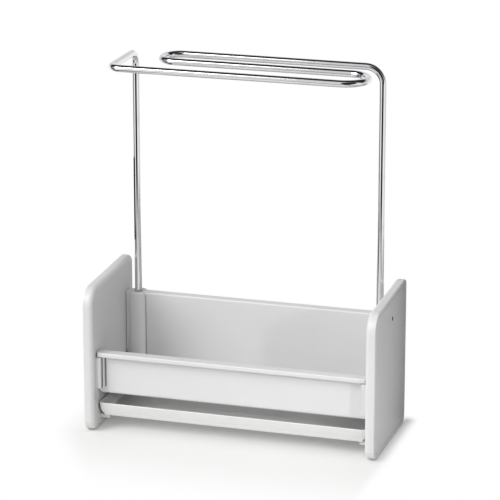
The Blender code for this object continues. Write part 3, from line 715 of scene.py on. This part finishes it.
def screw_surfaces(side, y, z):
    """Along the shank the radius is the core plus a ridge that rises and falls once for each pitch
    and climbs one pitch a turn. The head is a flat disc with a quarter circle round its edge and a
    cross sunk into it."""
    angle = np.linspace(0, FULL_TURN, SMALL_SIDES, endpoint=False)[None]

    def rings(along, radius):
        """The way along the screw, and the radius times the angle's cosine and sine."""
        places = (along + 0 * angle, radius * np.cos(angle), radius * np.sin(angle))
        return np.stack(places, axis=-1)

    along = np.linspace(-SCREW_LENGTH, 0, SHANK_STEPS + 1)[:, None]
    from_tip = (along + SCREW_LENGTH) / SCREW_TIP
    wave = np.abs((along / SCREW_PITCH + side * angle / FULL_TURN) % 1 * 2 - 1)
    fade = np.clip(-along / SCREW_PITCH, 0, 1) * np.clip(from_tip, 0, 1)
    core = SCREW_CORE * np.clip(from_tip * (1 - SCREW_TIP_SHARE) + SCREW_TIP_SHARE, 0, 1)
    growing, falling = [share[:, None] for share in quarter_shares(EDGE_STEPS)]
    flat_reach = SCREW_HEAD_RADIUS - SCREW_HEAD_EDGE
    inward = np.linspace(flat_reach, 0, HEAD_STEPS + 1)[1:, None]
    reach = np.concatenate((SCREW_HEAD_RADIUS - SCREW_HEAD_EDGE * growing, inward))
    height = SCREW_HEAD_HEIGHT - SCREW_HEAD_EDGE * np.concatenate((falling, 0 * inward))
    from_arm = np.minimum(np.abs(reach * np.cos(angle)), np.abs(reach * np.sin(angle)))
    sunk = np.clip((RECESS_HALF_WIDTH - from_arm) / RECESS_WALL, 0, 1)
    sunk = sunk * np.clip((RECESS_REACH - reach) / RECESS_HALF_WIDTH, 0, 1)
    parts = (
        rings(along, core + SCREW_RIDGE * wave * fade), rings(0 * angle, SCREW_HEAD_RADIUS),
        rings(height - RECESS_DEPTH * sunk, reach),
    )
    under_head = (side * (PLATE_INNER + SHELL_WALL + GAP), y, z)
    return [joined_rings(np.concatenate(parts) * (side, 1, 1) + under_head, True, False)]


# Materials

WHITE = (1, 1, 1, 1)
EDGE_FACING = (0.985, 0.84)
EDGE_GLOSS = -0.06
CREASE_REACH = 0.004
CREASE_SAMPLES = 8
CREASE_OPENNESS = (0.10, 0.62)
NOISE_MIDDLE = 0.5
MOTTLE_DETAIL = 3.0
GRAIN_DETAIL = 2.0
PLASTIC_GRAIN_DEPTH = 0.00003
METAL_GRAIN_DEPTH = 0.00001
SMUDGE_DETAIL = 4.0
SMUDGE_ROUGHNESS = 0.6
SMUDGE_SIZE_SHARE = 0.35
DULL_SMUDGE = (0.42, 0.72)


def add_node(tree, kind, settings=None, inputs=None):
    """A node with its settings, and with each input set to a value or linked to an output."""
    node = tree.nodes.new(kind)
    for name, value in (settings or {}).items():
        setattr(node, name, value)
    for name, value in (inputs or {}).items():
        if isinstance(value, bpy.types.NodeSocket):
            tree.links.new(value, node.inputs[name])
        else:
            node.inputs[name].default_value = value
    return node


def calculate(tree, operation, first, second=0.0, third=0.0):
    """One step of arithmetic on numbers or outputs."""
    inputs = {0: first, 1: second, 2: third}
    return add_node(tree, "ShaderNodeMath", {"operation": operation}, inputs).outputs[0]


def product(tree, *factors):
    """All the factors times each other."""
    result = factors[0]
    for factor in factors[1:]:
        result = calculate(tree, "MULTIPLY", result, factor)
    return result


def vector_step(tree, operation, first, second=(0, 0, 0)):
    """One step of arithmetic on vectors. A length or a dot product comes out as a number."""
    node = add_node(tree, "ShaderNodeVectorMath", {"operation": operation}, {0: first, 1: second})
    return node.outputs["Value" if operation in ("LENGTH", "DOT_PRODUCT") else "Vector"]


def axis_parts(tree, vector):
    """The three parts of a vector."""
    return add_node(tree, "ShaderNodeSeparateXYZ", inputs={0: vector}).outputs


def texture_place(tree, kind):
    """Object coordinates, the normal or, for the world, the direction, as its kind says."""
    return add_node(tree, "ShaderNodeTexCoord").outputs[kind]


def smooth_step(tree, value, start, end, low=0.0, high=1.0):
    """low at start, high at end, with a soft change between them and none beyond."""
    inputs = {"Value": value, "From Min": start, "From Max": end, "To Min": low, "To Max": high}
    settings = {"interpolation_type": "SMOOTHSTEP"}
    return add_node(tree, "ShaderNodeMapRange", settings, inputs).outputs["Result"]


def soft_band(tree, value, rising, falling):
    """1 within a band of values and 0 outside it. Each of its edges is a pair of values, the one
    where the band is 0 and the one where it is 1."""
    return product(tree, smooth_step(tree, value, *rising), smooth_step(tree, value, *falling))


def blend_colours(tree, share, first, second):
    """first turned into second by a share. The node's colour inputs have the numbers 6 and 7, and
    its colour output has 2."""
    inputs = {0: share, 6: first, 7: second}
    return add_node(tree, "ShaderNodeMix", {"data_type": "RGBA"}, inputs).outputs[2]


def new_group(name, colours, values):
    """An empty node group that takes colours and values and gives a colour, a roughness and a
    height. Returns it with its inputs and with the function that links its results."""
    group = bpy.data.node_groups.new(name, "ShaderNodeTree")
    kinds = {title: "NodeSocketColor" for title in colours}
    kinds.update({title: "NodeSocketFloat" for title in values})
    for title, kind in kinds.items():
        group.interface.new_socket(title, in_out="INPUT", socket_type=kind)
    for title in ("Colour", "Roughness", "Height"):
        kind = "NodeSocketColor" if title == "Colour" else "NodeSocketFloat"
        group.interface.new_socket(title, in_out="OUTPUT", socket_type=kind)
    given, result = group.nodes.new("NodeGroupInput"), group.nodes.new("NodeGroupOutput")

    def put_out(colour, roughness):
        """Links the results. The height is a fine grain."""
        height = object_noise(group, given.outputs["Grain Size"], GRAIN_DETAIL)
        for title, value in (("Colour", colour), ("Roughness", roughness), ("Height", height)):
            group.links.new(value, result.inputs[title])

    return group, given.outputs, put_out


def object_noise(tree, size, detail, roughness=0.5):
    """Soft noise whose blobs have a size in metres, read from the object's own coordinates."""
    inputs = {"Vector": texture_place(tree, "Object"), "Detail": detail, "Roughness": roughness}
    inputs["Scale"] = calculate(tree, "DIVIDE", 1.0, size)
    return add_node(tree, "ShaderNodeTexNoise", inputs=inputs).outputs["Fac"]


def edge_mask(tree):
    """1 where the surface turns between two main directions, as on rounded edges, else 0."""
    x, y, z = axis_parts(tree, vector_step(tree, "ABSOLUTE", texture_place(tree, "Normal")))
    largest = calculate(tree, "MAXIMUM", x, calculate(tree, "MAXIMUM", y, z))
    return smooth_step(tree, largest, *EDGE_FACING)


def moulded_group():
    """Moulded plastic: broad faint mottles, rounded edges that are glossier and painted lighter as
    a highlight, painted shade that darkens creases and narrow gaps, smudges that change the gloss,
    and a fine spark-eroded grain."""
    values = (
        "Edge Highlight Share", "Crease Shade", "Mottle Size", "Mottle Share", "Grain Size", "Roughness",
        "Smudge Share",
    )
    group, given, put_out = new_group("moulded_surface", ("Colour", "Edge Highlight Colour"), values)
    edges = edge_mask(group)
    # Painted highlight: rounded edges are blended towards a lighter colour.
    edge_highlight_share = product(group, edges, given["Edge Highlight Share"])
    colour = blend_colours(group, edge_highlight_share, given["Colour"], given["Edge Highlight Colour"])
    mottle = object_noise(group, given["Mottle Size"], MOTTLE_DETAIL)
    mottle = calculate(group, "SUBTRACT", mottle, NOISE_MIDDLE)
    mottle = calculate(group, "MULTIPLY_ADD", mottle, given["Mottle Share"], 1.0)
    # Painted shade: the colour is darkened where ambient occlusion finds creases and narrow gaps
    # close by.
    settings, inputs = {"samples": CREASE_SAMPLES}, {"Distance": CREASE_REACH}
    openness = add_node(group, "ShaderNodeAmbientOcclusion", settings, inputs).outputs["AO"]
    crease = smooth_step(group, openness, *CREASE_OPENNESS, given["Crease Shade"], 1.0)
    colour = vector_step(group, "MULTIPLY", colour, product(group, mottle, crease))
    smudge_size = product(group, given["Mottle Size"], SMUDGE_SIZE_SHARE)
    smudge = object_noise(group, smudge_size, SMUDGE_DETAIL, SMUDGE_ROUGHNESS)
    smudge = calculate(group, "SUBTRACT", smudge, NOISE_MIDDLE)
    roughness = calculate(group, "MULTIPLY_ADD", smudge, given["Smudge Share"], given["Roughness"])
    put_out(colour, calculate(group, "MULTIPLY_ADD", edges, EDGE_GLOSS, roughness))
    return group


def metal_group():
    """Metal: a fine grain, and faint smudges that dull the gloss and change the colour a little."""
    values = ("Smudge Size", "Grain Size", "Roughness", "Smudge Share")
    group, given, put_out = new_group("metal_surface", ("Colour", "Dull Colour"), values)
    smudge = object_noise(group, given["Smudge Size"], SMUDGE_DETAIL, SMUDGE_ROUGHNESS)
    dull = smooth_step(group, smudge, *DULL_SMUDGE)
    colour = blend_colours(group, dull, given["Colour"], given["Dull Colour"])
    roughness = calculate(group, "MULTIPLY_ADD", dull, given["Smudge Share"], given["Roughness"])
    put_out(colour, roughness)
    return group


def new_material(name):
    """A material with its node tree and its shader."""
    material = bpy.data.materials.new(name)
    material.use_nodes = True
    return material, material.node_tree, material.node_tree.nodes["Principled BSDF"]


def surface_material(name, group, values, metallic, grain_strength, grain_depth):
    """A material whose colour, gloss and grain come from a group with its own values."""
    material, tree, shader = new_material(name)
    look = add_node(tree, "ShaderNodeGroup", {"node_tree": group}, values).outputs
    inputs = {"Strength": grain_strength, "Distance": grain_depth, "Height": look["Height"]}
    grain = add_node(tree, "ShaderNodeBump", inputs=inputs).outputs[0]
    results = {"Base Color": look["Colour"], "Roughness": look["Roughness"], "Normal": grain}
    for title, value in results.items():
        tree.links.new(value, shader.inputs[title])
    shader.inputs["Metallic"].default_value = metallic
    return material


def paint_eye_shade(material):
    """Paints shade inside each cover's eye: a mask of the distance from the eye's axis, kept to the
    thickness of the cover, turns the colour dark."""
    tree = material.node_tree
    base = tree.nodes["Principled BSDF"].inputs["Base Color"]
    place = texture_place(tree, "Object")
    from_axis = vector_step(tree, "SUBTRACT", place, (0, EYE_Y, EYE_Z))
    from_axis = vector_step(tree, "MULTIPLY", from_axis, (0, 1, 1))
    distance = vector_step(tree, "LENGTH", from_axis)
    inside = smooth_step(tree, distance, EYE_RADIUS + EYE_EDGE, EYE_RADIUS)
    outward_place = calculate(tree, "ABSOLUTE", axis_parts(tree, place)["X"])
    in_cover = calculate(tree, "GREATER_THAN", outward_place, PLATE_OUTER - COVER_THICKNESS - GAP)
    inside = product(tree, inside, in_cover)
    tree.links.new(blend_colours(tree, inside, base.links[0].from_socket, EYE_SHADE_COLOUR), base)


def make_materials():
    """White plastic of the plates and trough, the tray's own plastic, bright rod steel and zinc."""
    moulded, metal = moulded_group(), metal_group()
    # The edge colour is a painted highlight on rounded edges, and the crease shade is painted shade
    # in creases and gaps.
    white = {
        "Colour": (0.74, 0.74, 0.74, 1), "Edge Highlight Colour": (0.80, 0.80, 0.80, 1), "Edge Highlight Share": 0.8,
        "Crease Shade": 0.45, "Mottle Size": 0.03, "Mottle Share": 0.05, "Grain Size": 0.0005,
        "Roughness": 0.42, "Smudge Share": 0.14,
    }
    # The tray's lighter edge colour is a painted highlight on its lip and rounded edges.
    tray = {
        "Colour": (0.76, 0.76, 0.75, 1), "Edge Highlight Colour": (0.93, 0.93, 0.92, 1), "Edge Highlight Share": 0.9,
        "Crease Shade": 1.0, "Mottle Size": 0.02, "Mottle Share": 0.05, "Grain Size": 0.0004,
        "Roughness": 0.38, "Smudge Share": 0.16,
    }
    steel = {
        "Colour": (0.78, 0.78, 0.79, 1), "Dull Colour": (0.72, 0.72, 0.73, 1),
        "Smudge Size": 0.012, "Grain Size": 0.0003, "Roughness": 0.03, "Smudge Share": 0.05,
    }
    zinc = {
        "Colour": (0.62, 0.62, 0.63, 1), "Dull Colour": (0.50, 0.50, 0.49, 1),
        "Smudge Size": 0.0015, "Grain Size": 0.0002, "Roughness": 0.26, "Smudge Share": 0.20,
    }
    # The material's name, its group and values, how metallic it is, its grain's strength and depth
    finishes = {
        "white_plastic": ("white_moulded_plastic", moulded, white, 0.0, 0.25, PLASTIC_GRAIN_DEPTH),
        "tray_plastic": ("tray_moulded_plastic", moulded, tray, 0.0, 0.2, PLASTIC_GRAIN_DEPTH),
        "polished_steel": ("polished_rod_steel", metal, steel, 1.0, 0.05, METAL_GRAIN_DEPTH),
        "zinc_steel": ("zinc_plated_steel", metal, zinc, 1.0, 0.2, METAL_GRAIN_DEPTH),
    }
    materials = {slot: surface_material(*finish) for slot, finish in finishes.items()}
    # Painted shade inside the covers' eyes.
    paint_eye_shade(materials["white_plastic"])
    return materials


# Pieces

def build_pieces(materials):
    """Each piece takes the place of its node and rides on that node's body."""
    def piece(name, surfaces, slot, body):
        """One piece, named after its node."""
        make_piece(f"{name}_detail", surfaces, materials[slot], body, name)

    for word, side in SIDES:
        piece(f"{word}_side_shell", shell_surfaces(side), "white_plastic", "caddy")
        piece(f"{word}_outer_cover", cover_surfaces(side), "white_plastic", "caddy")
        for place, (y, z) in SCREW_PLACES.items():
            piece(f"{word}_{place}_screw", screw_surfaces(side, y, z), "zinc_steel", "caddy")
    piece("trough", trough_surfaces(), "white_plastic", "caddy")
    piece("drip_tray", tray_surfaces(), "tray_plastic", "drip_tray")
    piece("wire_hanger", hanger_surfaces(), "polished_steel", "wire_hanger")


# Floor, light and camera

CAMERA_TURN = math.radians(16.94)
CAMERA_DIP = math.radians(16.70)
CAMERA_LENS_MM = 197.66
CAMERA_SENSOR_MM = 36.0
CAMERA_DISTANCE = 1.85641
CAMERA_TARGET = (0.01671, -0.0435, 0.14432)
CAMERA_NEAREST = 0.05

FLOOR_CENTRE = (0.08, -0.16)
FLOOR_RADIUS = 0.52
FLOOR_SIDES = 96
FLOOR_RINGS = 12
FLOOR_COLOURS = ((0.80, 0.80, 0.78, 1), (0.81, 0.81, 0.81, 1))
FLOOR_ROUGHNESS = 0.65
FLOOR_LIFT = 0.15
FLOOR_GLOSSY_SHARE = 0.3
FLOOR_CLEAR = (0.36, 0.60)
FLOOR_SIDE = (0.14, 0.21)
FLOOR_SIDE_BACK = (0.03, -0.02)
FLOOR_SIDE_SHARES = (0.92, 0.45)
FLOOR_BEHIND = ((0.09, 0.13), (0.38, 0.30))
FLOOR_BEHIND_SHARE = 0.5
FLOOR_DARK = (0.03, 0.03, 0.03, 1)
SHADE_STRETCH_AHEAD = (-4.0, -1.0, -1.0)
SHADE_STRETCH_BEHIND = (10.0, 8.0, 1.0)
SHADE_SLANT = 0.5
SHADE_FADE = (-0.010, 0.105)
PAPER_GRAIN = 0.004

AREA_LAMPS = {
    "key_lamp": ((-1.10, -1.22, 1.22), 1.1, 23.0),
    "front_lamp": ((0.25, -1.90, 0.55), 0.8, 2.6),
    "top_lamp": ((0.05, -0.05, 1.70), 1.2, 2.0),
}
LAMP_TARGET = (0.0, 0.0, 0.08)
SIDE_LAMP_PLACE = (1.05, -0.75, 0.45)
SIDE_LAMP_TARGET = (0.105, -0.065, 0.060)
SIDE_LAMP_POWER = 15.0
SIDE_LAMP_CONE = math.radians(8.0)
SIDE_LAMP_FADE = 1.0
SIDE_LAMP_SIZE = 0.05

STUDIO_WHITE = (1.06, 1.06, 1.07, 1)
FLAG_GREY = (0.16, 0.16, 0.17, 1)
FLAG_DARK = (0.10, 0.10, 0.105, 1)
FLAG_BLACK = (0.03, 0.03, 0.035, 1)
SIDE_FLAG_FACING = (0.90, 0.995)
SIDE_FLAG_SHARE = 0.35
LEFT_FLAG_TURN = math.radians(-14.0)
LEFT_FLAG_REACH = (14, 26)
LEFT_FLAG_TOP = (0.12, 0.0)
LEFT_FLAG_SHARE = 0.85
BACK_GREY_RISE = (4.0, 16.0)
BACK_GREY_SHARE = 0.28
TOP_FLAG_RISE = ((35.0, 51.0), (125.0, 109.0))
FRONT_FLAG_SHIFT = math.radians(7.0)
FRONT_FLAG_REACH = (24, 30)
FRONT_FLAG_HEIGHT = ((-0.44, -0.34), (-0.10, -0.20))
CAMERA_FLAG_WAY = (0.468, -0.811, 0.350)
CAMERA_FLAG_REACH = (31, 37)
EVEN_COLOURS = ((0.29, 0.29, 0.295, 1), (0.53, 0.53, 0.53, 1))
EVEN_WAY = (-0.55, -0.62, 0.56)
EVEN_LEAN = (-0.9, 0.9)

BACK_CARD_X = (0.1056, 0.120)
BACK_CARD_Y = 0.0465
BACK_CARD_TOP = 0.130
SIDE_CARD_X = -0.1068
SIDE_CARD_Y = (0.012, 0.050)
SIDE_CARD_Z = (0.117, 0.178)
CARD_COLOURS = ((0.02, 0.02, 0.02, 1), (0.04, 0.04, 0.04, 1))
CARD_ROUGHNESS = 0.9


def facing(direction):
    """The turn that points a camera or a lamp along a direction."""
    return Vector(direction).to_track_quat("-Z", "Y").to_euler()


def make_camera():
    """The camera stands back from its target along a line turned to the right and dipped down."""
    sideways, forward = -math.sin(CAMERA_TURN), math.cos(CAMERA_TURN)
    level_part = math.cos(CAMERA_DIP)
    ahead = (sideways * level_part, forward * level_part, -math.sin(CAMERA_DIP))
    data = bpy.data.cameras.new("photo_camera")
    data.lens = CAMERA_LENS_MM
    data.sensor_width = CAMERA_SENSOR_MM
    data.sensor_fit = "HORIZONTAL"
    data.clip_start = CAMERA_NEAREST
    camera = add_object("photo_camera", data)
    camera.location = Vector(CAMERA_TARGET) - Vector(ahead) * CAMERA_DISTANCE
    camera.rotation_euler = facing(ahead)
    bpy.context.scene.camera = camera


def make_lamp(name, kind, place, target, power, settings):
    """A lamp that faces its target, with the settings of its kind."""
    data = bpy.data.lights.new(name, kind)
    data.energy = power
    for setting, value in settings.items():
        setattr(data, setting, value)
    lamp = add_object(name, data)
    lamp.location = place
    lamp.rotation_euler = facing(Vector(target) - Vector(place))
    return lamp


def make_lamps():
    """Square soft lamps from the left front above, from the front and from above, of which only the
    first shows in reflections, and a soft spot from the right that fades over the outer side of the
    right plate."""
    for name, (place, size, power) in AREA_LAMPS.items():
        settings = {"shape": "SQUARE", "size": size}
        lamp = make_lamp(name, "AREA", place, LAMP_TARGET, power, settings)
        lamp.visible_glossy = name == "key_lamp"
    settings = {"spot_size": SIDE_LAMP_CONE, "spot_blend": SIDE_LAMP_FADE}
    settings["shadow_soft_size"] = SIDE_LAMP_SIZE
    make_lamp("side_lamp", "SPOT", SIDE_LAMP_PLACE, SIDE_LAMP_TARGET, SIDE_LAMP_POWER, settings)


def direction_band(tree, direction, towards, reach):
    """1 where a direction lies within the first angle, in degrees, of another, and 0 beyond the
    second."""
    inner, outer = np.cos(np.radians(reach))
    return smooth_step(tree, vector_step(tree, "DOT_PRODUCT", direction, towards), outer, inner)


def studio_flags(tree, way):
    """Masks and colours of what reflections see, each laid over the ones before: grey at both
    sides, a dark flag low at the left, a faint grey that begins low behind the rack and goes on up
    and over it, and black flags overhead, low in front, and round the camera and to its right."""
    _, depth, height = axis_parts(tree, way)
    flat = vector_step(tree, "NORMALIZE", vector_step(tree, "MULTIPLY", way, (1, 1, 0)))
    rise = calculate(tree, "ARCTAN2", height, depth)
    right_way = (math.cos(CAMERA_TURN), math.sin(CAMERA_TURN), 0)
    sides = calculate(tree, "ABSOLUTE", vector_step(tree, "DOT_PRODUCT", flat, right_way))
    left_way = (-math.cos(LEFT_FLAG_TURN), math.sin(LEFT_FLAG_TURN), 0)
    left = direction_band(tree, flat, left_way, LEFT_FLAG_REACH)
    left = product(tree, left, smooth_step(tree, height, *LEFT_FLAG_TOP), LEFT_FLAG_SHARE)
    front_turn = CAMERA_TURN - FRONT_FLAG_SHIFT
    front_way = (math.sin(front_turn), -math.cos(front_turn), 0)
    front = direction_band(tree, flat, front_way, FRONT_FLAG_REACH)
    over_back = smooth_step(tree, rise, *np.radians(BACK_GREY_RISE), 0.0, BACK_GREY_SHARE)
    return (
        (product(tree, smooth_step(tree, sides, *SIDE_FLAG_FACING), SIDE_FLAG_SHARE), FLAG_GREY),
        (left, FLAG_DARK), (over_back, FLAG_GREY),
        (soft_band(tree, rise, *np.radians(TOP_FLAG_RISE)), FLAG_BLACK),
        (product(tree, front, soft_band(tree, height, *FRONT_FLAG_HEIGHT)), FLAG_BLACK),
        (direction_band(tree, way, CAMERA_FLAG_WAY, CAMERA_FLAG_REACH), FLAG_BLACK),
    )


def make_world():
    """A pale studio. What the camera sees is white. Glossy rays see white with the studio's flags.
    Other rays see an even light that is stronger from the front left above."""
    world = bpy.data.worlds.new("pale_studio")
    bpy.context.scene.world = world
    world.use_nodes = True
    tree = world.node_tree
    tree.nodes.clear()
    way = texture_place(tree, "Generated")
    glossy = STUDIO_WHITE
    for share, colour in studio_flags(tree, way):
        glossy = blend_colours(tree, share, glossy, colour)
    lean = smooth_step(tree, vector_step(tree, "DOT_PRODUCT", way, EVEN_WAY), *EVEN_LEAN)
    even = blend_colours(tree, lean, *EVEN_COLOURS)
    path = add_node(tree, "ShaderNodeLightPath").outputs
    colour = blend_colours(tree, path["Is Glossy Ray"], even, glossy)
    colour = blend_colours(tree, path["Is Camera Ray"], colour, WHITE)
    background = add_node(tree, "ShaderNodeBackground", inputs={"Color": colour, "Strength": 1.0})
    tree.links.new(background.outputs[0], add_node(tree, "ShaderNodeOutputWorld").inputs[0])


def glow(tree, colour, strength=1.0):
    """A plain glow."""
    inputs = {"Color": colour, "Strength": strength}
    return add_node(tree, "ShaderNodeEmission", inputs=inputs).outputs[0]


def mix_shaders(tree, share, first, second):
    """first turned into second by a share."""
    return add_node(tree, "ShaderNodeMixShader", inputs={0: share, 1: first, 2: second}).outputs[0]


def beyond_shade(tree, place):
    """0 on the part of the floor that keeps the rack's shadow, and 1 further out. The distance from
    the rack counts several times to the right, to the back and to the left and once to the front,
    where the left edge of that part slants inwards."""
    x, y, _ = axis_parts(tree, place)
    ahead = calculate(tree, "MINIMUM", calculate(tree, "SUBTRACT", y, FRONT), 0.0)
    slanted = {"X": calculate(tree, "MULTIPLY_ADD", ahead, SHADE_SLANT, x), "Y": y}
    slanted = add_node(tree, "ShaderNodeCombineXYZ", inputs=slanted).outputs[0]
    corner = (PLATE_OUTER, BACK, 0)
    past_back = vector_step(tree, "SUBTRACT", place, corner)
    past_back = vector_step(tree, "MULTIPLY", past_back, SHADE_STRETCH_BEHIND)
    past_front = vector_step(tree, "ADD", slanted, corner)
    past_front = vector_step(tree, "MULTIPLY", past_front, SHADE_STRETCH_AHEAD)
    past = vector_step(tree, "MAXIMUM", vector_step(tree, "MAXIMUM", past_back, past_front))
    return smooth_step(tree, vector_step(tree, "LENGTH", past), *SHADE_FADE)


def floor_darkness(tree, place):
    """How dark reflections see the floor: from a line at each side of the rack outwards, but not
    behind it, and over a strip further back."""
    x, y, _ = axis_parts(tree, place)
    near, full = FLOOR_SIDE
    left, right = [product(tree, smooth_step(tree, x, side * near, side * full), share)
                   for side, share in zip((-1, 1), FLOOR_SIDE_SHARES)]
    sides = calculate(tree, "ADD", left, right)
    sides = product(tree, sides, smooth_step(tree, y, *FLOOR_SIDE_BACK))
    strip = product(tree, soft_band(tree, y, *FLOOR_BEHIND), FLOOR_BEHIND_SHARE)
    return calculate(tree, "MAXIMUM", sides, strip)


def floor_material():
    """A pale tabletop. Near the rack it shows the shadow, and further out what the camera and
    glossy rays see of it fades to plain white. Only glossy rays see its dark parts, and for them
    it ends at a distance."""
    material, tree, shader = new_material("pale_tabletop")
    grain = object_noise(tree, PAPER_GRAIN, MOTTLE_DETAIL)
    shader.inputs["Roughness"].default_value = FLOOR_ROUGHNESS
    tree.links.new(blend_colours(tree, grain, *FLOOR_COLOURS), shader.inputs["Base Color"])
    place = texture_place(tree, "Object")
    path = add_node(tree, "ShaderNodeLightPath").outputs
    glossy = path["Is Glossy Ray"]
    seen = calculate(tree, "MULTIPLY_ADD", glossy, FLOOR_GLOSSY_SHARE, path["Is Camera Ray"])
    lift = glow(tree, WHITE, product(tree, seen, FLOOR_LIFT))
    lit = add_node(tree, "ShaderNodeAddShader", inputs={0: shader.outputs[0], 1: lift}).outputs[0]
    look = mix_shaders(tree, product(tree, beyond_shade(tree, place), seen), lit, glow(tree, WHITE))
    dark = product(tree, floor_darkness(tree, place), glossy)
    look = mix_shaders(tree, dark, look, glow(tree, FLOOR_DARK))
    through = smooth_step(tree, vector_step(tree, "LENGTH", place), *FLOOR_CLEAR)
    clear = add_node(tree, "ShaderNodeBsdfTransparent").outputs[0]
    look = mix_shaders(tree, product(tree, glossy, through), look, clear)
    tree.links.new(look, tree.nodes["Material Output"].inputs["Surface"])
    return material


def make_floor():
    """A round floor: rings of a growing radius about its centre."""
    turn = np.linspace(0, FULL_TURN, FLOOR_SIDES, endpoint=False)[None]
    radii = np.linspace(0, FLOOR_RADIUS, FLOOR_RINGS + 1)[1:, None]
    rings = np.stack((radii * np.cos(turn), radii * np.sin(turn), 0 * radii * turn), axis=-1)
    points, faces = joined_rings(rings + (*FLOOR_CENTRE, 0), True, False)
    add_object("pale_floor", new_mesh("pale_floor", points, faces, floor_material()))


def make_dark_cards():
    """Two upright dark cards that the camera doesn't see. The one behind the right plate keeps
    light off the back part of the plate's outer side. The one above the left plate's outer side
    draws a dark line on the lower part of the left leg."""
    (left, right), place, top = BACK_CARD_X, BACK_CARD_Y, BACK_CARD_TOP
    points = [(left, place, 0), (right, place, 0), (right, place, top), (left, place, top)]
    (front, back), (low, high) = SIDE_CARD_Y, SIDE_CARD_Z
    corners = ((front, low), (back, low), (back, high), (front, high))
    points += [(SIDE_CARD_X, y, z) for y, z in corners]
    material, tree, shader = new_material("dark_card_paper")
    shader.inputs["Roughness"].default_value = CARD_ROUGHNESS
    grain = object_noise(tree, PAPER_GRAIN, MOTTLE_DETAIL)
    tree.links.new(blend_colours(tree, grain, *CARD_COLOURS), shader.inputs["Base Color"])
    mesh = new_mesh("dark_cards", points, [(0, 1, 2, 3), (4, 5, 6, 7)], material)
    cards = add_object("dark_cards", mesh)
    cards.visible_camera = False


bpy.context.scene.view_settings.view_transform = "Standard"
make_camera()
make_world()
make_lamps()
make_floor()
make_dark_cards()
build_pieces(make_materials())
